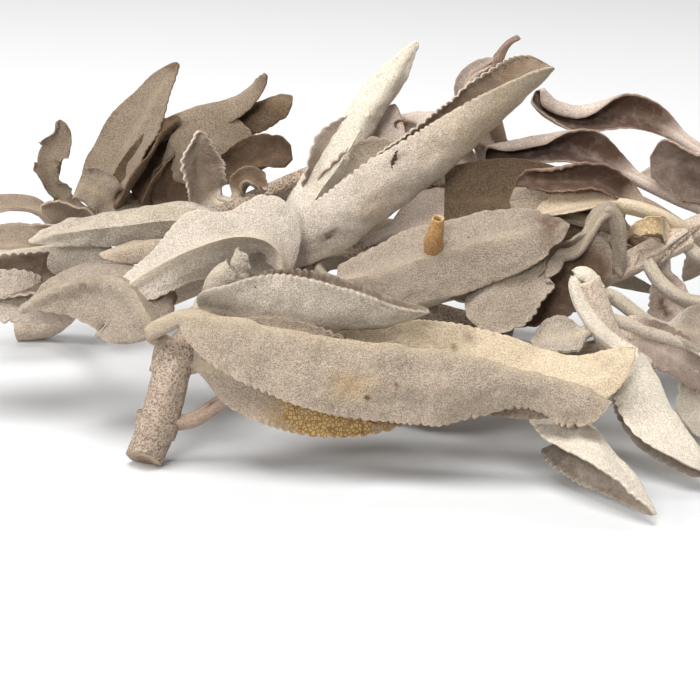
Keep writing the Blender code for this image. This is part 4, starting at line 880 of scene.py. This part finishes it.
LEFT_LEAVES = [
    Leaf("thick_left_leaf",
         [(-43, 12, 24), (-40.5, 3.5, 28), (-45, 2, 29), (-52, 2, 28.3), (-60, 3, 27), (-73, 4, 24)],
         11, [(0, 0.5, -0.8)], [(70, 60)], [(15, 15)], 0.12, (0.3, 0.9)),
    Leaf("brown_left_leaf", [(-43, 12, 24), (-47, 2, 24.5), (-53, -1, 24), (-60, -2, 22.5), (-70, -3, 19)],
         11, [(0, -0.6, 0.6)], [(50, 50)], [(15, 15)]),
    Leaf("toothed_left_leaf",
         [(-44, 14, 23), (-46, 5, 19), (-50, -2, 20.5), (-57, -5, 22.5), (-68, -6, 20)],
         10, [(0, -0.7, 0.7)], [(20, 20)], stalk=0.3),
    Leaf("far_left_leaf", [(-49, 34, 12), (-52, 36, 22), (-57, 35, 27.3), (-65, 34, 28), (-75.5, 33, 26)],
         7, [(0, -0.3, 0.95)], stalk=0.4),
    Leaf("low_left_leaf", [(-48, 30, 14), (-54, 26, 21.5), (-60, 25, 23.5), (-70, 24, 22)],
         9, [(0, -0.5, 0.8)], stalk=0.3),
    Leaf("bud_leaf", [(-48, 30, 14), (-47, 30, 23), (-51, 29, 27.5), (-55, 27, 30)],
         8, [(-0.3, -0.8, 0.3)], [(50, 50)], [(10, 10)], 0.4),
    Leaf("spike_leaf", [(-47, 28, 16), (-50, 25, 24), (-57, 24, 27)],
         4, [(0, -0.8, 0.3)], [(50, 50)], [(10, 10)], 0.3),
]
RIGHT_LEAVES = [
    Leaf("hanging_leaf",
         [(38.8, -15.7, 26.5), (37, -15, 28.8), (35.4, -15.5, 28), (36.3, -16.5, 24.5), (38.7, -18, 21),
          (41.8, -19.2, 18.5), (44.7, -20.8, 17), (47.3, -23, 14.2), (49.4, -26, 10.3), (52, -29, 7.6),
          (54.5, -32, 5), (57.5, -34.5, 2.8)],
         15.5, [(-0.75, -0.4, -0.5)], [(20, 25)], [(60, 75)], 0.46, (0.3, 0.7)),
    Leaf("resting_leaf",
         [(43.5, -17, 16.5), (41.5, -20, 12), (38, -23, 9.8), (36.3, -27, 9.5), (38, -34, 8.5),
          (41.2, -41, 6.2), (44.4, -47.5, 2)],
         18, [(-0.85, -0.3, -0.25)], [(10, 15)], [(55, 75)], 0.18, (0.2, 0.75)),
    Leaf("edge_leaf", [(54, -8.5, 15.5), (57.5, -12, 14), (58, -14, 10), (59, -16, 5), (61, -19, 1.2)],
         12, [(0, -1, 0.2)], [(40, 40)], stalk=0.15),
    Leaf("lilac_leaf", [(40.5, -14, 21.5), (44, -13.5, 19.5), (48.5, -14, 17), (54, -14, 14), (66, -12, 6)],
         8, [(0, -0.9, 0.6)], [(40, 40)], stalk=0.1, ends=(0.3, 0.8)),
    Leaf("long_stalk_leaf",
         [(40, -15, 22.5), (46.5, -13.5, 20), (56, -13, 16.5), (66, -15, 12), (75.3, -17, 8)],
         12, [(0, -0.4, 0.9)], [(40, 40)], [(10, 10)], 0.4),
    Leaf("bent_stalk_leaf",
         [(39.5, -15, 25.5), (42, -12.5, 25), (49, -11.5, 20), (56, -11, 18.5), (69, -10, 17)],
         11, [(0, -0.6, 0.8)], fold=[(10, 10)], stalk=0.45),
    Leaf("small_grey_leaf", [(40, -16, 21.5), (36, -18, 20.3), (32, -17.5, 19.6), (28.8, -16, 18.6)],
         7, [(0, -0.7, 0.7)], stalk=0.3),
    Leaf("low_grey_leaf", [(42, -15.5, 18.5), (37, -12, 16), (28, -8, 13), (14, -4, 8), (4, -2, 4)],
         14, [(0, -0.3, 1)], stalk=0.3),
]
RIGHT_BACK_LEAVES = [
    Leaf("looped_leaf",
         [(42.5, -3.5, 27), (43.8, -5, 27.6), (44.1, -6.2, 30), (43.5, -7.5, 34.5), (42.3, -8, 37.5),
          (40.8, -8.5, 38.4), (39.2, -8.8, 37), (38.4, -9, 34), (36.5, -9.3, 30.5), (33.5, -9.8, 27),
          (29.8, -10.5, 23.5), (26, -11.5, 20)],
         12.5, [(0.3, -0.3, 0.9), (0.5, -0.5, 0.7), (0.5, -0.9, 0.2), (0.3, -1, 0.2)], [(20, 20)],
         [(15, 15)], 0.5, (0.4, 0.7), (1.2, 4)),
    Leaf("oval_leaf",
         [(41.2, -8.5, 38), (39.5, -9.6, 37.2), (37.8, -10.3, 34.6), (35.8, -10.9, 31.9),
          (32.6, -11.5, 31.4), (29.4, -12.2, 31.5), (26, -13.5, 28.2), (22.8, -15, 24.4),
          (20.3, -16.3, 20.9)],
         12.5, [(0.2, -0.8, 0.5)], [(-80, 25)], [(-10, 5)], 0.36, (0.5, 0.4), (0.6, 3.5)),
    Leaf("upper_rolled_leaf",
         [(66, 12, 31), (66, 18, 37), (61.5, 19, 41), (56.1, 20.5, 44.6), (52.8, 22, 46.4),
          (50.2, 22.5, 47.2), (47.1, 23, 47.6), (43.3, 23.5, 47.3), (39.1, 24, 46.8), (35.2, 24.5, 48.2),
          (32.2, 25, 51)],
         11.5, [(0, -0.8, 0.5)], [(50, 50), (50, 50), (55, 55), (200, 70), (270, 80)], [(10, 10)], 0.4,
         (0.9, 0.3)),
    Leaf("lower_rolled_leaf",
         [(62, 9, 32), (60, 11, 33.5), (55.5, 11.5, 35.3), (50.5, 12.5, 37.6), (45.5, 13, 40),
          (41.5, 13, 41.8), (37, 13.5, 43), (32.5, 14, 43.2), (28, 14, 42.6), (23, 13.5, 41.5)],
         12.5, [(0, -0.7, 0.7)], [(50, 50), (50, 50), (60, 60), (200, 60), (240, 60)], [(10, 10)], 0.36,
         (0.9, 0.4)),
    Leaf("yellow_stalk_leaf",
         [(57, 4, 31.3), (54.5, 2.5, 33), (51, 1.8, 35), (46, 1.5, 36.5), (41, 1, 37), (35.5, 0.5, 36.2),
          (30, 0.5, 34.8)],
         9, [(0, -0.3, 1)], [(40, 40)], [(10, 10)], 0.5),
    Leaf("square_leaf",
         [(50, 2, 29), (43, 4.5, 32), (36, 5.5, 34.5), (28.3, 6, 35.5), (21.7, 6.5, 36), (15.8, 7, 36)],
         15, [(0, -1, 0.2)], [(20, 20)], stalk=0.25, ends=(0.45, 0.5), snap=0.86),
    Leaf("dark_fold_leaf",
         [(56, 5, 31.5), (50.5, 4.5, 35.2), (45.5, 4.5, 37.6), (41.5, 4, 39.5), (36.8, 4, 40.4),
          (32, 4, 40.2), (27.5, 4, 39.4)],
         8, [(0, -0.7, 0.7)], [(50, 50), (50, 50), (130, 50), (160, 50)], [(10, 10)], 0.3, (0.6, 0.6)),
    Leaf("round_flap",
         [(46, 1.5, 31), (42, 1.8, 33), (37, 2, 34.2), (32.5, 2, 35.5), (29, 2, 36.6), (26.3, 2, 37)],
         5.5, [(0, -0.9, 0.4)], stalk=0.5, ends=(0.5, 0.3)),
    Leaf("curled_end_leaf",
         [(58, 6, 31.5), (63, 8.5, 33.5), (66.5, 11, 36.8), (63, 11, 39), (57.5, 11, 40.8),
          (50.5, 10.5, 42.6)],
         12, [(-0.3, -0.5, -0.8), (-0.3, -0.9, 0.2)], [(70, 70)], [(10, 10)], 0.35, (0.6, 0.35)),
    Leaf("grey_green_leaf", [(65, 11, 31.5), (64.5, 16, 35), (58, 15.5, 36.8), (49.5, 15, 38.5)],
         8, [(0, -0.5, 0.8)], [(20, 20)], stalk=0.35),
    Leaf("drooping_leaf",
         [(49.5, -1, 28.5), (48.8, -3.5, 28), (51, -4.5, 25), (55, -4.5, 22.3), (61, -3, 21), (72, -1, 20)],
         9, [(0, -0.5, 0.8)], fold=[(10, 10)], stalk=0.55),
    Leaf("holed_leaf", [(52, 1, 28.5), (52.5, 1, 23), (53.5, 0, 18), (54, -1, 13)], 7, [(0, -1, 0.1)]),
    Leaf("side_stalk_leaf", [(54.5, 3, 31), (58, 2, 28), (64, 4, 26.5), (75, 6, 24)],
         11, [(0, -0.5, 0.8)], fold=[(10, 10)], stalk=0.4),
    Leaf("far_right_leaf", [(61, 8, 31.5), (66, 16, 29), (69, 26, 25), (68, 36, 19), (63, 43, 12)],
         14, [(0.4, 0.2, 1)], [(50, 50)], [(20, 20)]),
    Leaf("inner_right_leaf", [(47, -2, 28), (46, 8, 26), (50, 18, 25), (52, 28, 24), (48, 37, 21)],
         13, [(0.2, 0, 1)], [(50, 50)], [(20, 20)], 0.25),
    Leaf("rear_fold_leaf", [(49, 1, 29), (46, 12, 26), (40, 23, 24.5), (33, 35, 23.5)],
         14, [(0, 0.2, 1)], [(50, 50)], [(20, 20)], 0.15),
    Leaf("end_leaf", [(66, 11, 31.5), (69, 13, 25), (70.5, 16, 17), (70, 20, 9), (68, 24, 3)],
         12, [(1, 0, 0.3)], [(50, 50)], [(20, 20)]),
    Leaf("orange_scrap", [(53, 2, 31), (50.5, -2.5, 33.3), (47.5, -4.5, 34), (44.5, -6.5, 33)],
         5, [(0, -0.9, 0.5)], stalk=0.1, ends=(0.5, 0.8)),
]

# Details of the leaves that differ from the plain one. A leaf's finish is partly its own tone and partly
# painted light:
# darker finishes on leaves in shade, such as the broad and the veined leaf, and the whitest on the tall leaf,
# which catches the light.
DETAILS = {
    "front_leaf": Detail("warm_felt", 0.3, (1.3, 0.55), 0.25, 0.4, 0.08, 0.4,
                         stains=((0.506, -0.55, 3, 2, 0.35),),
                         browns=((0.588, -0.5, 0.35, 0.3, 2.2), (0.537, -0.7, 0.35, 0.3, 2.0))),
    "second_leaf": Detail("cream_felt", 0.3, (1.3, 0.5), 0.3, 0.3, 0.05, 0.0,
                          browns=((0.581, -0.35, 0.4, 0.35, 2.0), (0.613, -0.7, 1.5, 0.8, 0.5),
                                  (0.45, -0.4, 10, 4, 0.42))),
    "low_leaf": Detail("warm_felt", 0.3, (1.4, 0.5), 0.3, 0.2, 0.08, 0.1,
                       stains=((0.594, 0.65, 5, 3, 1.2), (0.75, 0.7, 5, 2.5, 1.1),
                               (0.68, 0.75, 4, 2, 0.8))),
    "over_leaf": Detail("grey_felt", 0.27, (1.1, 0.9), 0.2, 0.3, 0.05, 0.8,
                        browns=((0.475, -0.85, 3, 1.5, 0.7),)),
    # the faint brown patch on broad_leaf's crease is painted shade under its ridge
    "broad_leaf": Detail("tan_felt", 0.32, (1.8, 0.3), 0.2, 0.3, 0.1, 0.3,
                         browns=((0.6, 0.1, 3.5, 2, 0.3),), folds=((0.1, 1.0, -1.1), (-0.25, 1.4, 0.6))),
    "ridged_leaf": Detail("pale_felt", 0.32, (1.5, 0.3), 0.0, 0.1, 0.05, 0.25, holes=((1.0, 0, 1.3, 3, 0),),
                          skin=0.35, folds=((0.0, 0.7, -0.5),)),
    "arched_leaf": Detail("grey_felt", 0.32, (1.7, 0.15), 0.3, 0.4, 0.05, 0.8,
                          folds=((0.3, 0.5, -0.9), (-0.15, 0.6, 0.8))),
    "small_arch": Detail("grey_felt", 0.4, (1.6, 0.3), 0.2, 0.2, 0.05, 0.8),
    "strip_leaf": Detail("warm_felt", 0.4, (1.8, 0.15), 0.2, 0.16, 0.05, 0.4),
    "under_leaf": Detail("mauve_felt", 0.35, (1.6, 0.3), 0.3, 0.2, 0.05, 0.2,
                         browns=((0.3, 0, 1, 0.5, 0.8),)),
    "curl_scrap": Detail("grey_felt", 0.4, (1.5, 0.4), 0.3, 0.2, 0.05, 0.9),
    "inner_curl": Detail("grey_felt", 0.4, (1.5, 0.4), 0.3, 0.2, 0.05, 0.9),
    "rolled_leaf": Detail("pale_felt", 0.22, (1.35, 0.45), 0.2, 0.3, 0.06, 0.75,
                          stains=((0.44, 0.3, 4, 3, 0.15), (0.8, 0.3, 14, 8, 0.28)),
                          browns=((0.54, 0.78, 1.6, 0.7, 0.7), (0.27, 0.38, 2.8, 0.3, 1.8),
                                  (0.285, 0.3, 1.4, 0.25, 1.8)), holes=((0.535, 0.8, 1.6, 0.33, 40),)),
    "tall_leaf": Detail("white_felt", 0.32, (2.0, 0.15), 0.15, 0.35, 0.06, 0.6),
    "tall_flap": Detail("pale_felt", 0.4, (1.6, 0.5), 0.2, 0.2, 0.05, 0.5),
    "pale_leaf": Detail("rosy_felt", 0.4, (1.8, 0.15), 0.2, 0.16, 0.05, 0.0),
    "scalloped_leaf": Detail("warm_felt", 0.35, (1.7, 0.5), 0.3, 0.2, 0.05, 0.0),
    "rolled_flap": Detail("rosy_felt", 0.4, (1.8, 0.3), 0.3, 0.2, 0.05, 0.0),
    "standing_leaf": Detail("pale_felt", 0.28, (0.95, 0.7), 0.1, 0.2, 0.05, 0.7),
    "brown_leaf": Detail("brown_felt", 0.4, (1.8, 0.3), 0.3, 0.3, 0.05, 0.8),
    "peaked_leaf": Detail("warm_felt", 0.35, (1.5, 0.4), 0.3, 0.2, 0.05, 0.9),
    "veined_leaf": Detail("tan_felt", 0.32, (1.8, 0.2), 0.4, 0.3, 0.12, 0.3,
                          browns=((0.956, 0.35, 3, 3, 0.8),),
                          torn=((0.93, 1.0, 1, 0.8), (0.93, 1.0, -1, 0.8))),
    "shadow_leaf": Detail("grey_felt", 0.4, (1.7, 0.4), 0.3, 0.2, 0.05, 0.2),
    "mauve_leaf": Detail("rosy_felt", 0.35, (1.2, 0.3), 0.4, 0.3, 0.05, 0.45, torn=((0.75, 1.0, 1, 1.2),)),
    "twisted_leaf": Detail("mauve_felt", 0.35, (1.5, 0.3), 0.3, 0.2, 0.05, 0.6),
    "dark_tip_leaf": Detail("rosy_felt", 0.35, (1.6, 0.3), 0.4, 0.25, 0.05, 0.3,
                            browns=((0.97, 0, 2.5, 2.5, 1.0),)),
    "pink_leaf": Detail("rosy_felt", 0.4, (1.8, 0.2), 0.3, 0.16, 0.05, 0.4),
    "torn_leaf": Detail("dry_felt", 0.28, (1.6, 0.2), 0.3, 0.2, 0.05, 0.2,
                        holes=((0.76, -0.9, 1.2, 1.0, 0),), torn=((0.45, 0.8, 1, 1.5), (0.5, 1.0, -1, 1.3)),
                        skin=0.3),
    "tall_fold": Detail("dry_felt", 0.3, (1.3, 0.22), 0.2, 0.2, 0.05, 0.1,
                        browns=((0.99, 0, 1.5, 1.5, 0.9),), skin=0.32),
    "upper_dry_leaf": Detail("dry_felt", 0.32, (1.6, 0.25), 0.3, 0.25, 0.05, 0.7,
                             browns=((0.99, 0, 2, 2, 1.0),), skin=0.32),
    "middle_dry_leaf": Detail("brown_felt", 0.32, (1.6, 0.25), 0.3, 0.3, 0.05, 0.5, skin=0.32),
    "lower_dry_leaf": Detail("dry_felt", 0.35, (1.6, 0.3), 0.3, 0.25, 0.05, 0.2,
                             torn=((0.8, 1.0, -1, 1.0), (0.8, 1.0, 1, 0.7)), skin=0.32),
    "layered_leaf": Detail("brown_felt", 0.35, (1.5, 0.3), 0.4, 0.3, 0.05, 0.6, skin=0.32),
    "torn_scrap": Detail("warm_felt", 0.32, (1.5, 0.3), 0.4, 0.3, 0.05, 0.2,
                         torn=((0.4, 1.0, 1, 1.0), (0.4, 1.0, -1, 1.0)), skin=0.3),
    "dark_leaf": Detail("brown_felt", 0.35, (1.5, 0.3), 0.4, 0.3, 0.05, 0.8, skin=0.32),
    "hem_leaf": Detail("brown_felt", 0.35, (1.5, 0.3), 0.4, 0.3, 0.05, 0.8, skin=0.32),
    "thick_left_leaf": Detail("pale_felt", 0.4, (1.8, 0.3), 0.25, 0.2, 0.05, 0.5),
    "brown_left_leaf": Detail("grey_felt", 0.4, (1.6, 0.5), 0.3, 0.2, 0.05, 0.9),
    "toothed_left_leaf": Detail("pale_felt", 0.35, (1.7, 0.6), 0.2, 0.2, 0.05, 0.3),
    "hanging_leaf": Detail("white_felt", 0.32, (1.5, 0.5), 0.3, 0.25, 0.06, 0.8),
    "resting_leaf": Detail("white_felt", 0.3, (1.3, 0.7), 0.35, 0.4, 0.05, 0.75),
    "edge_leaf": Detail("white_felt", 0.35, (1.5, 0.4), 0.35, 0.3, 0.08, 0.3),
    "lilac_leaf": Detail("rosy_felt", 0.35, (1.5, 0.4), 0.35, 0.3, 0.05, 0.6),
    "long_stalk_leaf": Detail("pale_felt", 0.35, (1.5, 0.4), 0.35, 0.3, 0.08, 0.5,
                              folds=((0.4, 0.5, 0.7), (-0.5, 0.5, -0.6))),
    "bent_stalk_leaf": Detail("pale_felt", 0.35, (1.5, 0.4), 0.35, 0.3, 0.08, 0.5),
    "small_grey_leaf": Detail("grey_felt", 0.4, (1.5, 0.4), 0.3, 0.25, 0.1, 0.2),
    "looped_leaf": Detail("tan_felt", 0.32, (1.9, 0.45), 0.5, 0.25, 0.06, 0.95),
    "oval_leaf": Detail("tan_felt", 0.32, (1.6, 0.45), 0.3, 0.2, 0.05, 0.0),
    "upper_rolled_leaf": Detail("rosy_felt", 0.32, (1.8, 0.15), 0.3, 0.16, 0.05, 1.0),
    "lower_rolled_leaf": Detail("rosy_felt", 0.32, (1.8, 0.15), 0.3, 0.16, 0.05, 1.0),
    "yellow_stalk_leaf": Detail("cream_felt", 0.4, (1.8, 0.2), 0.3, 0.2, 0.05, 0.3),
    "square_leaf": Detail("brown_felt", 0.4, (1.8, 0.15), 0.3, 0.3, 0.1, 0.0,
                          holes=((0.594, 0.6, 2.2, 1.2, 0),)),
    "dark_fold_leaf": Detail("mauve_felt", 0.35, (1.8, 0.3), 0.3, 0.2, 0.05, 1.0),
    "round_flap": Detail("tan_felt", 0.4, (1.6, 0.3), 0.3, 0.2, 0.05, 0.0),
    "curled_end_leaf": Detail("rosy_felt", 0.35, (1.6, 0.3), 0.3, 0.3, 0.05, 0.8),
    "grey_green_leaf": Detail("grey_felt", 0.4, (1.6, 0.4), 0.3, 0.2, 0.05, 0.3),
    "drooping_leaf": Detail("pale_felt", 0.35, (1.5, 0.4), 0.35, 0.3, 0.08, 0.3),
    "holed_leaf": Detail("rosy_felt", 0.3, (1.5, 0.4), 0.3, 0.2, 0.05, 0.1,
                         browns=((0.55, 0.3, 1.4, 1, 1.2), (0.66, 0.1, 0.6, 0.6, 1.0))),
    "side_stalk_leaf": Detail("pale_felt", 0.35, (1.5, 0.4), 0.35, 0.3, 0.08, 0.3),
    "end_leaf": Detail("pale_felt", 0.4, (1.8, 0.4), 0.3, 0.2, 0.05, 0.5),
    "orange_scrap": Detail("cream_felt", 0.3, (1.5, 0.3), 0.5, 0.3, 0.05, 0.0,
                           stains=((0.6, 0.0, 6, 4, 0.45),),
                           browns=((0.97, 0, 1.5, 3, 1.6), (0.6, -1, 5, 0.7, 1.8)),
                           torn=((0.3, 1.0, 1, 1.0), (0.3, 1.0, -1, 1.2)), skin=0.35),
}

FRONT_STEMS = [
    Stem("cut_stem",
         [(-32.6, -23.3, 1.2), (-30, -23, 8), (-26.6, -20.5, 18), (-20, -8, 20), (-8, 6, 19), (8, 16, 17)],
         [2.9, 2.9, 2.8, 2.6, 2.4, 2.0], "bark", start=CUT_END, cut=(-0.3, -0.6, -0.74)),
    Stem("ring", [(-30.9, -23.2, 5.6), (-30, -23, 8.2)], [3.2, 3.5], "bark"),
    Stem("node", [(-28.6, -21.6, 14.5), (-26.8, -19.5, 19.5)], [3.2, 3.9], "bark"),
]
MIDDLE_STEMS = [
    Stem("pink_stem",
         [(-26, 6, 32), (-18.5, 8, 35), (-10, 12, 38), (-2, 16, 39.5), (12.5, 22, 36), (26, 24, 30)],
         [1.2, 1.3, 1.3, 1.4, 1.6, 1.8], "bark"),
    Stem("lower_stem", [(-18, 3, 27), (-8, 8, 25), (6, 14, 26), (26, 24, 30), (38, 26, 33)],
         [1.5, 2.0, 2.2, 2.2, 2.0], "bark", end=CUT_END),
    Stem("riser", [(-17, 4, 27), (-17, 7, 35)], [1.2, 1.2], "bark"),
    Stem("yellow_stub", [(13.4, -10.5, 32), (13.3, -12.6, 34.6), (13.8, -14, 38.1)],
         [1.6, 1.4, 1.0], "yellow_wood", end=HOLLOW_END),
]
BACK_STEMS = [
    Stem("back_stem",
         [(-42, 37, 29.5), (-35, 40, 23), (-20, 42, 15), (0, 43, 9), (20, 44, 4), (31, 44, 1.8)],
         [1.6, 2.1, 2.1, 2.1, 2.0, 1.8], "bark", end=CUT_END),
]
LEFT_STEMS = [
    Stem("left_stub", [(-63.5, 42.5, 2.3), (-57, 42.5, 3.2), (-50, 35, 11), (-45, 22, 20), (-42, 10, 25)],
         [2.3, 2.3, 2.0, 1.8, 1.5], "pale_bark", start=CUT_END),
]
RIGHT_STEMS = [
    Stem("snapped_stem", [(37.6, -15.5, 28.5), (39.3, -15.8, 24), (41.5, -16.5, 18.5), (47, -16.5, 14)],
         [1.9, 2.0, 2.1, 1.8], "pale_bark", start=HOLLOW_END, end=CUT_END),
    Stem("runner", [(41, -15.5, 19.5), (50, -10, 17), (62, -6, 13), (74, -4, 8)],
         [1.4, 1.5, 1.6, 1.4], "pale_bark", end=CUT_END),
]
RIGHT_BACK_STEMS = [
    Stem("thick_stem",
         [(39, -5.5, 25.5), (47, -2, 28), (53, 2, 30), (61, 8, 32), (69, 13.5, 31), (74.5, 17, 28.5)],
         [1.9, 2.0, 2.2, 2.0, 1.8, 1.6], "pale_bark", start=CUT_END, end=CUT_END, rough=0.13),
    Stem("lump", [(50.5, 0, 29), (55, 3.5, 30.6)], [2.5, 2.9], "pale_bark", rough=0.13),
    Stem("upper_bark_strip",
         [(47.2, -3.6, 27.1), (48.3, -3.1, 28.9), (50.2, -2.5, 29.8), (52.5, -1.1, 31), (55.5, 0.9, 32.3)],
         [0.35, 0.6, 0.65, 0.6, 0.35], "pale_bark", rough=0.2),
    Stem("lower_bark_strip",
         [(50.8, -1.6, 27), (51.6, -1.7, 28.3), (53.2, -0.7, 29.9), (55.2, 0.7, 31.2), (58.5, 4.4, 32.5)],
         [0.35, 0.55, 0.6, 0.5, 0.35], "bark", rough=0.2),
    Stem("wrapped_bark_strip", [(45, -3.8, 25.7), (45.6, -4.5, 27), (46.6, -3.9, 29), (47.6, -1.9, 30.2)],
         [0.35, 0.55, 0.55, 0.35], "pale_bark", rough=0.2),
]

SPRIGS = [
    ("front_sprig", FRONT_STEMS, FRONT_LEAVES),
    ("middle_sprig", MIDDLE_STEMS, MIDDLE_LEAVES),
    ("back_sprig", BACK_STEMS, BACK_LEAVES),
    ("left_sprig", LEFT_STEMS, LEFT_LEAVES),
    ("right_sprig", RIGHT_STEMS, RIGHT_LEAVES),
    ("right_back_sprig", RIGHT_BACK_STEMS, RIGHT_BACK_LEAVES),
]


def dress_sprigs():
    """Each sprig's stems and leaves, as pieces that stand for its solid and ride with it."""
    seeds = itertools.count(FIRST_SEED, SEED_STEP)
    for node, stems, leaves in SPRIGS:
        for stem in stems:
            claim(make_stem(stem, next(seeds)), node)
        for leaf in leaves:
            detail = DETAILS.get(leaf.name, Detail())
            claim(make_leaf(leaf, detail, next(seeds)), node)


def claim(piece, node):
    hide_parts(node)
    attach(piece, "root")


# The floor is a wide sheet of white paper; its tone, darker in front of and under the bunch than behind it,
# is painted light and shade.
FLOOR_REACH = 3.0
NEAR_PAPER = (0.65, 0.655, 0.66, 1)
FAR_PAPER = (0.74, 0.743, 0.743, 1)
PAPER_TURN = (0.03, 0.2)  # places along Y between which the near tone turns into the far one, a painted change of light
PAPER_SHADING = {"Roughness": 0.75, "Specular IOR Level": 0.2}


def white_paper():
    paper = bpy.data.materials.new("white_paper")
    paper.use_nodes = True
    tree = paper.node_tree
    shader = tree.nodes["Principled BSDF"]
    place = add_node(tree, "SeparateXYZ")
    tree.links.new(add_node(tree, "TexCoord").outputs["Object"], place.inputs[0])
    further = between(tree, place.outputs[1], *PAPER_TURN)
    tree.links.new(mixed(tree, further, NEAR_PAPER, FAR_PAPER), shader.inputs["Base Color"])
    set_values(shader, PAPER_SHADING)
    return paper


def make_floor():
    corners = [(x * FLOOR_REACH, y * FLOOR_REACH, 0) for x, y in ((-1, -1), (1, -1), (1, 1), (-1, 1))]
    floor = bpy.data.meshes.new("floor")
    floor.from_pydata(corners, [], [(0, 1, 2, 3)])
    floor.materials.append(white_paper())
    sheet = bpy.data.objects.new("floor", floor)
    bpy.context.scene.collection.objects.link(sheet)


# Soft round lamps: place, the point that they aim at, size and power, in metres and watts.
LAMPS = {
    "overhead": ((-0.1, -0.36, 0.9), (0, 0, 0), 0.6, 10.2),
    "front_lamp": ((-0.3, -0.95, 0.5), (0, 0, 0.02), 0.3, 5.8),
    "left_lamp": ((-0.85, -0.1, 0.55), (0, 0, 0), 0.25, 4.2),
    "right_lamp": ((0.8, 0.25, 0.6), (0, 0, 0), 0.25, 2.0),
    "back_lamp": ((-0.25, 0.65, 0.8), (0, 0, 0), 0.3, 2.6),
}
ROOM_LIGHT = {"Color": (1.0, 0.99, 0.97, 1), "Strength": 0.12}


def light_studio():
    world = bpy.data.worlds.new("studio")
    world.use_nodes = True
    set_values(world.node_tree.nodes["Background"], ROOM_LIGHT)
    bpy.context.scene.world = world
    for name, (place, aim, size, power) in LAMPS.items():
        light = bpy.data.lights.new(name, "AREA")
        light.shape = "DISK"
        light.size = size
        light.energy = power
        lamp = bpy.data.objects.new(name, light)
        lamp.location = place
        lamp.rotation_euler = (Vector(aim) - Vector(place)).to_track_quat("-Z", "Y").to_euler()
        bpy.context.scene.collection.objects.link(lamp)
    bpy.context.scene.view_settings.view_transform = "Standard"


CAMERA_DISTANCE = 300.0
CAMERA_TILT = math.radians(18)
LOOK_AT = (0.0, -25.0, 20.0)
LENS, SENSOR_WIDTH = 100.0, 36
CLIP_START = 0.01  # in metres


def place_camera():
    view = bpy.data.cameras.new("camera")
    view.lens = LENS
    view.sensor_width = SENSOR_WIDTH
    view.clip_start = CLIP_START
    camera = bpy.data.objects.new("camera", view)
    back = Vector((0, -math.cos(CAMERA_TILT), math.sin(CAMERA_TILT)))
    camera.location = (Vector(LOOK_AT) + back * CAMERA_DISTANCE) * MM
    camera.rotation_euler = (math.pi / 2 - CAMERA_TILT, 0, 0)
    bpy.context.scene.collection.objects.link(camera)
    bpy.context.scene.camera = camera


FINISHES = make_finishes()
place_camera()
make_floor()
light_studio()
dress_sprigs()
